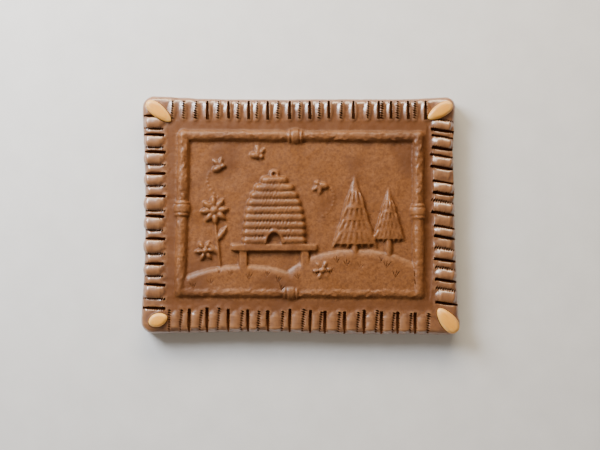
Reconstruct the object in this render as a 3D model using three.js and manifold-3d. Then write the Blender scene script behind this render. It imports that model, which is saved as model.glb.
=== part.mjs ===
// A filled honey gingerbread, lying on its back with its moulded picture up.
//
// It is a thick slab of honey dough with an almond pressed into each corner. Its border is pinched
// into ridges, each between a row of tooth marks and an open cut. Ringed rods frame the picture,
// a straw beehive on a bench with bees, flowers and fir trees.
//
// Millimetres: +X is to the right of the picture, +Y to its top, +Z out of its face, and the
// origin is under the middle of the slab, on the surface that it lies on.

import * as THREE from "three";
import { mergeVertices } from "three/addons/utils/BufferGeometryUtils.js";
import Module from "manifold-3d";

const wasm = await Module();
wasm.setup();

// Driving dimensions
const SLAB = { length: 240, width: 180, height: 17, corner: 11, rim: 5.5, foot: 2 };
const RIDGE = { round: 2, gap: 0.2 };
const SLOT = { width: 2.2, depth: 4, dotWidth: 1.5, dotDepth: 2.4 };
const ROD = { radius: 4.8, rise: 4.6, sunk: 1.5, ring: 1.1, knob: 1.07 };
const PANEL = { left: -89.5, right: 91, bottom: -58.5, top: 62, sunk: 0.8 };
const SWELLING = { length: 24, width: 18, height: 3.4, sunk: 2.4 };
const ALMOND = { flatness: 0.66, gap: 0.3, broad: 0.74, blunt: 0.5 };
const SKEP = { coils: 9, rise: 4, door: 6 };
const FIR = { tiers: 4, rise: 3.4 };
const HILL_RISE = 2.4;
const FLOOR = SLAB.height - PANEL.sunk; // what the picture stands on
const BURIED = 1.5; // how deep a moulded shape reaches into the dough
const ABOVE = SLAB.height + 6; // clear of all that stands out of the dough

const COLOURS = { dough: 0x97623f, almond: 0xd8b185 };

// How far each corner is drawn out of the slab's rectangle, anticlockwise from the lower left
const CORNERS = [
  { side: [-1, -1], flare: [3, 0] },
  { side: [1, -1], flare: [3, 2.4] },
  { side: [1, 1], flare: [0.4, 2] },
  { side: [-1, 1], flare: [2, 2.8] },
];

// The border's sides, walked clockwise from the top. Each ridge has its middle, counted along the
// walk from the side's middle, and its width. Before it is a row of tooth marks, and after it an
// open cut. leans are how far the two are turned, in degrees. edge is how far out the slab's edge
// is at the side's middle, and slant how much further it gets with each millimetre of the walk.
// reach is how far in a pinch begins, margin how far from the edge its cuts end, rise how far its
// ridge stands out of the top, and bulge how far out of the edge. The ridges whose numbers are
// marked have tooth marks on both sides. lone is an open cut without a ridge.
const TOP = {
  turn: 0, edge: 90.4, slant: 0, reach: 16.1, margin: 2,
  rise: 0.6, bulge: -1, leans: [-2.5, 0], marked: [0], lone: [],
  ridges: [
    [-94.2, 8.7], [-76, 9], [-59.2, 8], [-43.8, 8.2], [-29.2, 8.3], [-12.7, 9], [3.4, 7.8],
    [18.3, 7.3], [36.3, 9.3], [56.3, 8.2], [66.4, 7], [79, 8.2], [92.3, 8.3],
  ],
};
const RIGHT = {
  turn: -90, edge: 119.2, slant: 0.022, reach: 17.8, margin: 0,
  rise: 2.4, bulge: 1.2, leans: [-9.3, -8.6], marked: [], lone: [],
  ridges: [
    [-69.8, 8.5], [-56.2, 9.1], [-41.3, 9], [-21.4, 8.8], [-6.1, 9.2],
    [12.7, 7.8], [29.8, 8.8], [45.1, 9.3], [62, 10.8],
  ],
};
const BOTTOM = {
  turn: 180, edge: 90, slant: -0.014, reach: 18, margin: 0,
  rise: 1.3, bulge: 0.6, leans: [-4.5, -0.5], marked: [13], lone: [],
  ridges: [
    [-93.2, 10], [-79.8, 10], [-66.9, 9.2], [-53.8, 9.5], [-39.2, 10.3], [-24.4, 10.8], [-11.7, 8],
    [2.9, 10.3], [19.2, 11.3], [36, 8.4], [50, 10.5], [67.1, 8.8], [80.7, 9], [96, 9],
  ],
};
const LEFT = {
  turn: 90, edge: 120.2, slant: 0, reach: 16.2, margin: 0,
  rise: 2.3, bulge: 1.1, leans: [-1, -2], marked: [], lone: [-71.1],
  ridges: [
    [-58.4, 10.6], [-41.8, 9.5], [-23.6, 11.7], [-5.9, 10.7], [9.4, 11.3],
    [27.6, 9.6], [44.1, 9.9], [57.4, 9.8], [71.8, 9.7],
  ],
};
const SIDES = [TOP, RIGHT, BOTTOM, LEFT];
const PIVOT = 9; // how far from the edge the middle of a cut is
const UNEVEN = { lean: 1.2, reach: 0.8 };

// turn points an almond's broad end, and lift is how far its middle lies over the dough's top
const ALMONDS = [
  { name: "almond_top_left", at: [-108.8, 80.1], length: 23.8, width: 10.5, turn: 141, lift: 0.8 },
  { name: "almond_top_right", at: [107.5, 80.5], length: 21.8, width: 10.8, turn: 32, lift: 0.8 },
  { name: "almond_bottom_right", at: [112.8, -80.3], length: 22.8, width: 12.4, turn: -51, lift: 0.6 },
  { name: "almond_bottom_left", at: [-109, -80], length: 15, width: 10.6, turn: 199, lift: 0.6 },
];

const AXIS_X = new THREE.Vector3(1, 0, 0);
const AXIS_Y = new THREE.Vector3(0, 1, 0);
const AXIS_Z = new THREE.Vector3(0, 0, 1);

// A fixed number from -1 to 1 for each seed, for what a hand does unevenly
function wobble(seed) {
  const wave = Math.sin(seed * 12.9898 + 4.137) * 43758.5453;
  return 2 * (wave - Math.floor(wave)) - 1;
}

function solid(geometry) {
  const bare = geometry.clone();
  bare.deleteAttribute("normal");
  bare.deleteAttribute("uv");
  const merged = mergeVertices(bare, 1e-4);
  return new wasm.Manifold(
    new wasm.Mesh({
      numProp: 3,
      vertProperties: merged.attributes.position.array,
      triVerts: new Uint32Array(merged.index.array),
    }),
  );
}

function geometryOf(manifold) {
  const { vertProperties, triVerts } = manifold.getMesh();
  const geometry = new THREE.BufferGeometry();
  geometry.setAttribute("position", new THREE.BufferAttribute(vertProperties, 3));
  geometry.setIndex(new THREE.BufferAttribute(triVerts, 1));
  const faceted = geometry.toNonIndexed();
  faceted.computeVertexNormals();
  return faceted;
}

// Balanced joining keeps the work small when many pieces meet
function join(solids) {
  if (solids.length === 1) return solids[0];
  const half = Math.ceil(solids.length / 2);
  return join(solids.slice(0, half)).add(join(solids.slice(half)));
}

function placed(geometry, x, y, z, turn = 0) {
  return geometry.rotateZ(THREE.MathUtils.degToRad(turn)).translate(x, y, z);
}

// The point that lies ahead of x, y in the direction turn, and to the left of that direction
function pointFrom(x, y, turn, ahead, left = 0) {
  const angle = THREE.MathUtils.degToRad(turn);
  const offset = new THREE.Vector2(ahead, left).rotateAround(new THREE.Vector2(), angle);
  return [x + offset.x, y + offset.y];
}

// A flattened ball that stands out of the surface at height z
function mound(x, y, z, halfLength, halfWidth, rise, turn = 0, segments = [7, 4]) {
  const ball = new THREE.SphereGeometry(1, segments[0], segments[1]);
  ball.rotateX(Math.PI / 2);
  return solid(placed(ball.scale(halfLength, halfWidth, rise), x, y, z, turn));
}

// The slab

function edgeAt(side, place) {
  return side.edge + side.slant * place;
}

function slabOutline() {
  const tips = CORNERS.map(({ side: [sx, sy], flare: [fx, fy] }) => [
    sx * (SLAB.length / 2 + fx),
    sy * (SLAB.width / 2 + fy),
  ]);
  const along = [
    [1, 0],
    [0, 1],
    [-1, 0],
    [0, -1],
  ];
  const shape = new THREE.Shape();
  tips.forEach(([x, y], i) => {
    const [inX, inY] = along[(i + 3) % 4];
    const [outX, outY] = along[i];
    const leave = [x + outX * SLAB.corner, y + outY * SLAB.corner];
    if (i === 0) shape.moveTo(x - inX * SLAB.corner, y - inY * SLAB.corner);
    shape.quadraticCurveTo(x, y, ...leave);
    const [nextX, nextY] = tips[(i + 1) % 4];
    const enter = [nextX - outX * SLAB.corner, nextY - outY * SLAB.corner];
    const [sx, sy] = CORNERS[i].side;
    const drawn = (t) => {
      const onX = THREE.MathUtils.lerp(leave[0], enter[0], t);
      const onY = THREE.MathUtils.lerp(leave[1], enter[1], t);
      if (outX) return [onX, sy * edgeAt(sy > 0 ? TOP : BOTTOM, sy * onX)];
      return [sx * edgeAt(sx > 0 ? RIGHT : LEFT, -sx * onY), onY];
    };
    shape.bezierCurveTo(...drawn(0.22), ...drawn(0.78), ...enter);
  });
  return shape;
}

// The lower edge is rounded less than the upper one: its foot is what the flat underside leaves of it
function slab() {
  const inset = SLAB.rim * 0.75;
  const sunk = SLAB.rim - SLAB.foot;
  const geometry = new THREE.ExtrudeGeometry(slabOutline(), {
    depth: SLAB.height + sunk - 2 * SLAB.rim,
    bevelThickness: SLAB.rim,
    bevelSize: inset,
    bevelOffset: -inset,
    bevelSegments: 2,
    curveSegments: 4,
  });
  geometry.translate(0, 0, SLAB.foot);
  const below = new THREE.BoxGeometry(2 * SLAB.length, 2 * SLAB.width, 2 * SLAB.rim);
  return solid(geometry).subtract(solid(below.translate(0, 0, -SLAB.rim)));
}

// The dough swells round each almond
function cornerSwellings() {
  const { length, width, height, sunk } = SWELLING;
  return ALMONDS.map(({ at: [x, y], turn }) =>
    mound(x, y, SLAB.height - sunk, length / 2, width / 2, height, turn, [12, 6]),
  );
}

// The pinched border. Its pieces are made at the middle of a side, with +X along the walk round
// the slab and +Y outwards, and then moved along that side.

function onSide(geometry, side, place, lean) {
  geometry.translate(0, PIVOT, 0);
  geometry.rotateZ(THREE.MathUtils.degToRad(lean));
  geometry.translate(place, edgeAt(side, place) - PIVOT, 0);
  return solid(geometry.rotateZ(THREE.MathUtils.degToRad(side.turn)));
}

function pinches() {
  return SIDES.flatMap((side, sideIndex) =>
    side.ridges.map(([place, width], i) => {
      const seed = sideIndex * 100 + i;
      const turned = UNEVEN.lean * wobble(seed + 0.5);
      return {
        side,
        place,
        width,
        leans: side.leans.map((lean) => lean + turned),
        reach: side.reach + UNEVEN.reach * wobble(seed + 0.75),
        marked: side.marked.includes(i),
      };
    }),
  );
}

// Its profile runs up from the picture's side, over the rim and down the side wall
function ridge({ side, place, width, leans, reach }) {
  const top = SLAB.height;
  const crest = top + side.rise;
  const profile = new THREE.Shape(
    [
      [-reach, top - 2],
      [4 - reach, crest],
      [-6, crest],
      [side.bulge - 3, crest - 2],
      [side.bulge, top - 6],
      [side.bulge - 2, 5],
    ].map(([out, up]) => new THREE.Vector2(out, up)),
  );
  const body = new THREE.ExtrudeGeometry(profile, {
    depth: width - 2 * RIDGE.gap - 2 * RIDGE.round,
    bevelThickness: RIDGE.round,
    bevelSize: RIDGE.round * 0.8,
    bevelOffset: -RIDGE.round * 0.8,
    bevelSegments: 1,
    curveSegments: 1,
  });
  body.translate(0, 0, RIDGE.gap + RIDGE.round - width / 2);
  body.applyMatrix4(new THREE.Matrix4().makeBasis(AXIS_Y, AXIS_Z, AXIS_X));
  return onSide(body, side, place, (leans[0] + leans[1]) / 2);
}

// A cut that narrows downwards to a line
function slot(side, place, lean, reach, width, depth) {
  const outer = side.margin > 0 ? -side.margin : 4;
  const over = 3;
  const half = (width / 2) * (1 + over / depth);
  const section = new THREE.Shape([
    new THREE.Vector2(over, -half),
    new THREE.Vector2(over, half),
    new THREE.Vector2(-depth, 0),
  ]);
  const cutter = new THREE.ExtrudeGeometry(section, { depth: outer + reach, bevelEnabled: false });
  cutter.applyMatrix4(new THREE.Matrix4().makeBasis(AXIS_Z, AXIS_X, AXIS_Y));
  cutter.translate(0, -reach, SLAB.height);
  return onSide(cutter, side, place, lean);
}

function toothMarks(side, place, lean, reach) {
  return slot(side, place, lean, reach, SLOT.dotWidth, SLOT.dotDepth);
}

function openCut(side, place, lean, reach) {
  return slot(side, place, lean, reach, SLOT.width, SLOT.depth);
}

// The rods round the picture

function rod(from, to, ringAt) {
  const start = new THREE.Vector2(...from);
  const run = new THREE.Vector2(...to).sub(start);
  const length = run.length();
  const steps = Math.round(length / 16);
  const middle = ringAt * length;
  const bark = Array.from({ length: steps + 1 }, (_, i) => [
    ROD.radius * (0.96 + 0.05 * wobble(length + i)),
    (i / steps) * length,
  ]).filter(([, y]) => Math.abs(y - middle) > 8);
  const rings = [
    [0, -5.6],
    [0.6 * ROD.ring, -4.4],
    [0, -3.2],
    [ROD.ring, -2.2],
    [ROD.ring, 2.2],
    [0, 3.2],
    [0.6 * ROD.ring, 4.4],
    [0, 5.6],
  ].map(([swell, y]) => [ROD.radius + swell, middle + y]);
  const profile = [...bark, ...rings].sort((a, b) => a[1] - b[1]);
  const points = [[0, 0], ...profile, [0, length]].map(([r, y]) => new THREE.Vector2(r, y));
  const turned = new THREE.LatheGeometry(points, 10);
  turned.scale(1, 1, ROD.rise / ROD.radius);
  const turn = THREE.MathUtils.radToDeg(run.angle()) - 90;
  return solid(placed(turned, start.x, start.y, SLAB.height - ROD.sunk, turn));
}

// The rods meet under a rounded knob at each corner
function frame() {
  const { left, right, bottom, top } = PANEL;
  const lowerLeft = [left - 3, bottom];
  const lowerRight = [right, bottom - 1];
  const upperRight = [right, top - 1];
  const upperLeft = [left, top];
  const radius = ROD.radius * ROD.knob;
  const knobs = [lowerLeft, lowerRight, upperRight, upperLeft].map(([x, y]) =>
    mound(x, y, SLAB.height - ROD.sunk, radius, radius, ROD.rise * ROD.knob, 45, [8, 6]),
  );
  return [
    rod(upperLeft, upperRight, 0.475),
    rod(lowerLeft, lowerRight, 0.465),
    rod(lowerLeft, upperLeft, 0.53),
    rod(lowerRight, upperRight, 0.52),
    ...knobs,
  ];
}

function panelBlock(low, high) {
  const { left, right, bottom, top } = PANEL;
  const block = new THREE.BoxGeometry(right - left, top - bottom, high - low);
  return solid(block.translate((left + right) / 2, (top + bottom) / 2, (low + high) / 2));
}

// The picture

// The top of an ellipse, as thick as the other motifs, with a rounded crest
function hill(x, y, halfLength, halfWidth, turn) {
  const dome = mound(x, y, FLOOR, halfLength, halfWidth, 2.2 * HILL_RISE, turn, [20, 10]);
  return dome.intersect(panelBlock(FLOOR - BURIED, FLOOR + HILL_RISE));
}

// A skep is wound of straw rope. Its coils get shorter and shallower to its top.
function skep(x, y, halfWidth, height) {
  const pitch = height / SKEP.coils;
  const thick = pitch * 0.6;
  const ropes = Array.from({ length: SKEP.coils }, (_, i) => {
    const share = (i + 0.4) / SKEP.coils;
    const half = halfWidth * Math.sqrt(1 - share ** 2.3);
    const rise = SKEP.rise * (0.8 + 0.2 * Math.sqrt(1 - share));
    const rope = new THREE.CapsuleGeometry(thick, 2 * (half - pitch / 2), 2, 8);
    rope.rotateZ(Math.PI / 2).scale(1, 1, rise / thick);
    return solid(placed(rope, x, y + (i + 0.5) * pitch, FLOOR));
  });
  const door = new THREE.CylinderGeometry(SKEP.door, SKEP.door, 8, 10);
  door.rotateX(Math.PI / 2).scale(1, 1.6, 1);
  const hollow = solid(placed(door, x, y, FLOOR + 5.2));
  const loop = new THREE.TorusGeometry(2.4, 1.1, 4, 8);
  return join([join(ropes).subtract(hollow), solid(placed(loop, x, y + height + 1.6, FLOOR + 0.7))]);
}

function bench(x, y, length) {
  const beam = (width, height, rise) => {
    const box = new THREE.BoxGeometry(width, height, rise + BURIED);
    return box.translate(0, 0, (rise - BURIED) / 2);
  };
  const legs = [-0.36, 0.36].map((share) => placed(beam(6, 18, 2.2), x + share * length, y - 9, FLOOR));
  return join([placed(beam(length, 5, 3.2), x, y, FLOOR), ...legs].map(solid));
}

// Tiers of drooping branches, each a flattened cone
function fir(x, y, halfWidth, height) {
  const cones = Array.from({ length: FIR.tiers }, (_, i) => {
    const share = i / FIR.tiers;
    const radius = halfWidth * (1 - 0.72 * share);
    const cone = new THREE.ConeGeometry(radius, height * 0.42, 8);
    cone.scale(1, 1, (FIR.rise * (1 - 0.12 * i)) / radius);
    return solid(placed(cone, x, y + height * (0.21 + 0.59 * share), FLOOR));
  });
  const trunk = new THREE.CylinderGeometry(halfWidth * 0.13, halfWidth * 0.16, 14, 8);
  return join([...cones, solid(placed(trunk, x, y - 5, FLOOR))]);
}

function daisy(x, y, radius, petals, raised = 0) {
  const ground = FLOOR + 0.4 + raised;
  const heart = mound(x, y, ground, radius * 0.32, radius * 0.32, 3.4);
  const leaves = Array.from({ length: petals }, (_, i) => {
    const turn = (360 * i) / petals + 6;
    const rise = 2.6 + 0.4 * wobble(x + i);
    const at = pointFrom(x, y, turn, radius * 0.6);
    return mound(...at, ground, radius * 0.42, radius * 0.24, rise, turn, [5, 4]);
  });
  return join([heart, ...leaves]);
}

// A stalk from the flower down to its root, with a leaf on each side
function stalk(from, to, leafLength) {
  const start = new THREE.Vector2(...from);
  const run = new THREE.Vector2(...to).sub(start);
  const turn = THREE.MathUtils.radToDeg(run.angle());
  const stem = new THREE.CylinderGeometry(1, 1.2, run.length(), 6).scale(1, 1, 1.6);
  const half = start.clone().addScaledVector(run, 0.5);
  const leaves = [-1, 1].map((hand) => {
    const root = start.clone().addScaledVector(run, 0.56 + 0.12 * hand);
    const leafTurn = turn + 180 + 40 * hand;
    const at = pointFrom(root.x, root.y, leafTurn, leafLength / 2);
    return mound(...at, FLOOR, leafLength * 0.54, 2.2, 2, leafTurn, [6, 4]);
  });
  return join([solid(placed(stem, half.x, half.y, FLOOR, turn - 90)), ...leaves]);
}

// A bee flies towards turn, with both wings raised
function bee(x, y, turn) {
  const tail = pointFrom(x, y, turn, -2);
  const head = pointFrom(x, y, turn, 3);
  const backWing = pointFrom(x, y, turn, -0.6, 4);
  const frontWing = pointFrom(x, y, turn, 2.6, 3.8);
  return join([
    mound(...tail, FLOOR, 4.4, 2.6, 2.8, turn),
    mound(...head, FLOOR, 2.1, 2, 2.4, turn, [6, 4]),
    mound(...backWing, FLOOR, 3.9, 1.9, 1.8, turn + 112, [6, 4]),
    mound(...frontWing, FLOOR, 3.4, 1.6, 1.8, turn + 62, [6, 4]),
  ]);
}

function picture() {
  const motifs = [
    hill(-50, -68, 62, 30, 4),
    hill(46, -66, 66, 40, -3),
    skep(-20, -22, 23, 52),
    bench(-20, -24.5, 66),
    fir(42, -22, 18, 62),
    fir(68, -18, 13, 46),
    daisy(-66, 4, 10.5, 8),
    stalk([-66, 0], [-61, -44], 13),
    daisy(-73, -27, 7.6, 6),
    daisy(17, -42, 8, 6, HILL_RISE - 1.6),
    bee(-62, 37, 24),
    bee(-33, 46, -12),
    bee(16, 24, 158),
  ];
  return join(motifs).intersect(panelBlock(FLOOR - BURIED, ABOVE));
}

// The almonds lie half sunk in the dough, broad end outwards

function almond({ at: [x, y], length, width, turn, lift }, grown = 0) {
  const steps = 8;
  const points = Array.from({ length: steps + 1 }, (_, i) => {
    const t = 1 - i / steps;
    const swell = Math.sin(Math.PI * t ** ALMOND.broad) ** ALMOND.blunt;
    const radius = i % steps === 0 ? 0 : (width / 2 + grown) * swell;
    return new THREE.Vector2(radius, (0.5 - t) * (length + 2 * grown));
  });
  const kernel = new THREE.LatheGeometry(points, 12).scale(1, 1, ALMOND.flatness);
  return solid(placed(kernel, x, y, SLAB.height + lift, turn - 90));
}

function gingerbread() {
  const ridges = pinches();
  const dough = join([slab(), ...cornerSwellings(), ...ridges.map(ridge)]);
  const cuts = ridges.flatMap(({ side, place, width, leans, reach, marked }) => [
    toothMarks(side, place - width / 2, leans[0], reach),
    (marked ? toothMarks : openCut)(side, place + width / 2, leans[1], reach),
  ]);
  const loneCuts = SIDES.flatMap((side) =>
    side.lone.map((place) => openCut(side, place, side.leans[1], side.reach)),
  );
  const moulded = dough.subtract(join([...cuts, ...loneCuts])).subtract(panelBlock(FLOOR, ABOVE));
  const sockets = ALMONDS.map((kernel) => almond(kernel, ALMOND.gap));
  return join([moulded, ...frame(), picture()]).subtract(join(sockets));
}

function mesh(name, manifold, colour, roughness) {
  const material = new THREE.MeshStandardMaterial({ color: colour, roughness, metalness: 0 });
  const made = new THREE.Mesh(geometryOf(manifold), material);
  made.name = name;
  return made;
}

const group = new THREE.Group();
group.add(mesh("gingerbread", gingerbread(), COLOURS.dough, 0.55));
for (const kernel of ALMONDS) {
  group.add(mesh(kernel.name, almond(kernel), COLOURS.almond, 0.45));
}

// The hand-drawn edge isn't quite even, so the finished piece is set over the origin
const middle = new THREE.Box3().setFromObject(group).getCenter(new THREE.Vector3());
group.position.set(-middle.x, -middle.y, 0);

export default group;
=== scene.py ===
"""The filled honey gingerbread as it was baked, glazed and pressed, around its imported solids.

The dough is moulded as one body in the order of the real work. A slab is shaped, the picture and
its ringed rods are raised on it, the border is pinched, and the whole is softened as dough is.
Then the tongs' cuts and the almonds' sockets are cut crisply. Sizes are millimetres, turned into
metres where a shape is made. +X is to the right of the picture, +Y to its top, +Z out of its face.
"""

from __future__ import annotations

import logging
import math
from collections.abc import Callable, Iterable, Iterator
from contextlib import contextmanager
from dataclasses import dataclass, field
from enum import Enum

import bpy
from mathutils import Matrix, Vector

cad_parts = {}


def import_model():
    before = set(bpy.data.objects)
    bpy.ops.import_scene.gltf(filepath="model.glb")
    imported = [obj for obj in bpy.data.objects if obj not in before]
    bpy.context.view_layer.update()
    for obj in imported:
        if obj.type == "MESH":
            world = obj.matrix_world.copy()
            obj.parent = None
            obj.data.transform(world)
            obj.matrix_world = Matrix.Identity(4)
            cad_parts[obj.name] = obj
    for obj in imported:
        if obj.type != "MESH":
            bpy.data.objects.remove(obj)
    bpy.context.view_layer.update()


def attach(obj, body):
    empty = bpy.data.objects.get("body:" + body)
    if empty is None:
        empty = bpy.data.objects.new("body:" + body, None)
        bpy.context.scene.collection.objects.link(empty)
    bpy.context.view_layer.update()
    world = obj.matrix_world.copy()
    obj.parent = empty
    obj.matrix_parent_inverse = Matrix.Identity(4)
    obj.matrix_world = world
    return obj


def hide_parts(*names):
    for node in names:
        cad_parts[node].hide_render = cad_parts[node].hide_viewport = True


LOG = logging.getLogger("gingerbread")

MM = 0.001
SHIFT = Vector((0.0, -0.2, 0.0))  # from the slab's own middle to the middle of its outline
CREST = "crest"  # the name of the note that says where the dough stands out or is hollow

Pair = tuple[float, float]
Place = Pair
Triple = tuple[float, float, float]
Piece = bpy.types.Object
Material = bpy.types.Material
Socket = bpy.types.NodeSocket


class Cut(Enum):
    """What a jaw of the tongs leaves on one side of a ridge."""

    OPEN = "an open cut with toothed edges"
    DOTTED = "a row of separate tooth marks"
    JOINED = "tooth marks that run together in a narrow cut"


class Blend(Enum):
    """How a cutter or an addition meets the dough."""

    CARVE = "DIFFERENCE"
    ADD = "UNION"


@dataclass(frozen=True)
class Tooth:
    """The mark of one tooth of the tongs, and the width of the slit that joins it to the next.

    All widths and lengths are at the slab's top.
    """

    wide: float
    long: float
    deep: float
    skew: float
    slit: float


OVER_EDGE = 0.6  # how far a cut that leaves the slab runs past its edge
TEETH = {
    Cut.OPEN: Tooth(3.5, 2.1, 4.2, 12.0, 2.5),
    Cut.DOTTED: Tooth(3.8, 1.7, 2.8, 16.0, 0.0),
    Cut.JOINED: Tooth(3.4, 1.9, 3.2, 14.0, 2.0),
}


# Small tools of the workshop


def wobble(seed: float) -> float:
    """Return a fixed number from -1 to 1 for a seed, for what a hand does unevenly.

    Args:
        seed: any number; equal seeds give equal results.

    Returns:
        The same value that the solids' source works out.
    """
    wave = math.sin(seed * 12.9898 + 4.137) * 43758.5453
    return 2 * (wave - math.floor(wave)) - 1


def at(x: float, y: float, z: float, turn: float = 0.0) -> Matrix:
    """Return the place of a shape: its middle in millimetres and its turn about +Z in degrees."""
    spot = Matrix.Translation((Vector((x, y, z)) + SHIFT) * MM)
    return spot @ Matrix.Rotation(math.radians(turn), 4, "Z")


def sized(x: float, y: float, z: float) -> Matrix:
    """Return the matrix that stretches a shape of unit size to these millimetres."""
    return Matrix.Diagonal((x * MM, y * MM, z * MM, 1.0))


def point_from(start: Place, turn: float, ahead: float, left: float = 0.0) -> Place:
    """Return the point ahead of a start, and to the left of its direction.

    Args:
        start: where to start.
        turn: the direction, in degrees from +X.
        ahead: how far along the direction.
        left: how far to the left of it.

    Returns:
        The point's place.
    """
    c, s = math.cos(math.radians(turn)), math.sin(math.radians(turn))
    return start[0] + ahead * c - left * s, start[1] + ahead * s + left * c


def take(*objects: Piece) -> Piece:
    """Deselect everything, then select these objects.

    Args:
        *objects: what is selected; the first becomes the active one.

    Returns:
        The first object.
    """
    bpy.ops.object.select_all(action="DESELECT")
    for item in objects:
        item.select_set(True)
    bpy.context.view_layer.objects.active = objects[0]
    return objects[0]


def fresh(name: str) -> Piece:
    """Name the primitive just added and settle its place into its mesh.

    Args:
        name: its name.

    Returns:
        The primitive.
    """
    made = bpy.context.object
    made.name = made.data.name = name
    bpy.ops.object.transform_apply(location=True, rotation=True, scale=True)
    return made


@contextmanager
def shaping(piece: Piece, mode: str = "VERT") -> Iterator[None]:
    """Hold a piece in edit mode.

    Args:
        piece: the piece to shape.
        mode: what is selected: VERT, EDGE or FACE.

    Yields:
        Nothing; the piece is back in object mode afterwards.
    """
    take(piece)
    bpy.ops.object.mode_set(mode="EDIT")
    bpy.ops.mesh.select_mode(type=mode)
    try:
        yield
    finally:
        bpy.ops.object.mode_set(mode="OBJECT")


def mark_points(piece: Piece, test: Callable[[Vector], bool]) -> None:
    """Select the points of a piece whose place in millimetres passes a test.

    Args:
        piece: a piece in object mode.
        test: given a point's place, says whether it is selected.
    """
    with shaping(piece):
        bpy.ops.mesh.select_all(action="DESELECT")
    for vertex in piece.data.vertices:
        vertex.select = test(vertex.co / MM)


def scale_points(
    piece: Piece, test: Callable[[Vector], bool], value: Triple, centre: Triple | None = None
) -> None:
    """Scale the points of a piece that pass a test.

    Args:
        piece: the piece to shape.
        test: given a point's place in millimetres, says whether it is moved.
        value: the scale along each axis.
        centre: what they are scaled about, in the mesh's own unit, or None for their middle.
    """
    mark_points(piece, test)
    about = {} if centre is None else {"center_override": centre}
    with shaping(piece):
        bpy.ops.transform.resize(value=value, **about)


def extrude_up(height: float) -> None:
    """Extrude what is selected in edit mode upwards by this many millimetres."""
    bpy.ops.mesh.extrude_region_move(TRANSFORM_OT_translate={"value": (0, 0, height * MM)})


def cut_away(piece: Piece, point: Triple, kept: Triple) -> None:
    """Cut off all of a piece that lies behind a plane, and close the cut.

    Args:
        piece: the piece to cut.
        point: a point of the plane, in millimetres.
        kept: the direction from the plane to the side that stays.
    """
    with shaping(piece):
        bpy.ops.mesh.select_all(action="SELECT")
        plane = tuple(v * MM for v in point)
        bpy.ops.mesh.bisect(plane_co=plane, plane_no=kept, clear_inner=True, use_fill=True)


def mark_edges(piece: Piece, test: Callable[[Vector, Vector], bool]) -> None:
    """Select the edges of a piece whose two ends, in millimetres, pass a test.

    Args:
        piece: a piece in object mode.
        test: given both ends, says whether the edge is selected.
    """
    with shaping(piece, "EDGE"):
        bpy.ops.mesh.select_all(action="DESELECT")
    points = piece.data.vertices
    for edge in piece.data.edges:
        a, b = edge.vertices
        edge.select = test(points[a].co / MM, points[b].co / MM)


def round_edges(
    piece: Piece, radius: float, steps: int, test: Callable[[Vector, Vector], bool]
) -> None:
    """Round the edges of a piece that pass a test.

    Args:
        piece: the piece to round.
        radius: the rounding's radius in millimetres.
        steps: how many strips it has.
        test: given an edge's two ends in millimetres, says whether it is rounded.
    """
    mark_edges(piece, test)
    with shaping(piece, "EDGE"):
        bpy.ops.mesh.bevel(offset=radius * MM, segments=steps, affect="EDGES", clamp_overlap=True)


def applied(piece: Piece, kind: str, **settings: object) -> None:
    """Add a modifier to a piece and apply it.

    Args:
        piece: the piece to change.
        kind: the modifier's type.
        **settings: its values.
    """
    take(piece)
    modifier = piece.modifiers.new(kind.lower(), kind)
    for name, value in settings.items():
        setattr(modifier, name, value)
    bpy.ops.object.modifier_apply(modifier=modifier.name)


def drop(*pieces: Piece) -> None:
    """Delete patterns and cutters that have done their work."""
    for piece in pieces:
        bpy.data.objects.remove(piece)


def joined(pieces: list[Piece], name: str) -> Piece:
    """Join pieces into the first one's object.

    Args:
        pieces: what is joined.
        name: the whole's name.

    Returns:
        The whole.
    """
    whole = take(*pieces)
    if len(pieces) > 1:
        bpy.ops.object.join()
    whole.name = whole.data.name = name
    return whole


def stamped(pattern: Piece, places: Iterable[Matrix], name: str) -> Piece:
    """Copy a pattern to each place, each copy with its own mesh, and join the copies.

    Args:
        pattern: the piece to repeat, modelled round the origin, which is deleted.
        places: where each copy goes.
        name: the joined piece's name.

    Returns:
        The joined copies.
    """
    copies = []
    for place in places:
        mesh = pattern.data.copy()
        mesh.transform(place)
        copy = bpy.data.objects.new(name, mesh)
        bpy.context.scene.collection.objects.link(copy)
        copies.append(copy)
    drop(pattern)
    return joined(copies, name)


def combined(piece: Piece, other: Piece, blend: Blend) -> None:
    """Carve a piece out of the dough or add it, and delete it.

    Args:
        piece: the dough.
        other: what is carved out of it or added to it.
        blend: which of the two.
    """
    applied(
        piece,
        "BOOLEAN",
        operation=blend.value,
        solver="MANIFOLD",
        object=other,
        material_mode="TRANSFER",
    )
    drop(other)


def softened(piece: Piece, grain: float, passes: int) -> None:
    """Melt overlapping shapes into one skin, as dough does, and smooth it.

    Args:
        piece: closed shapes that overlap.
        grain: the skin's finest step in millimetres.
        passes: how often it is smoothed.
    """
    applied(piece, "REMESH", mode="VOXEL", voxel_size=grain * MM, adaptivity=0.0)
    if passes:
        applied(piece, "SMOOTH", factor=0.5, iterations=passes)


def ball(name: str, segments: int = 14, rings: int = 9) -> Piece:
    """Return a pattern of unit radius for soft, rounded shapes."""
    bpy.ops.mesh.primitive_uv_sphere_add(segments=segments, ring_count=rings, radius=1.0)
    return fresh(name)


def hoop(name: str, radius: float, thick: float, segments: int) -> Piece:
    """Return a ring of round dough about the origin.

    Args:
        name: the ring's name.
        radius: from its middle to the middle of the dough, in millimetres.
        thick: the dough's own radius.
        segments: how many lengths the ring has.

    Returns:
        The ring.
    """
    bpy.ops.mesh.primitive_torus_add(
        major_radius=radius * MM, minor_radius=thick * MM, major_segments=segments, minor_segments=10
    )
    return fresh(name)


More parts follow.
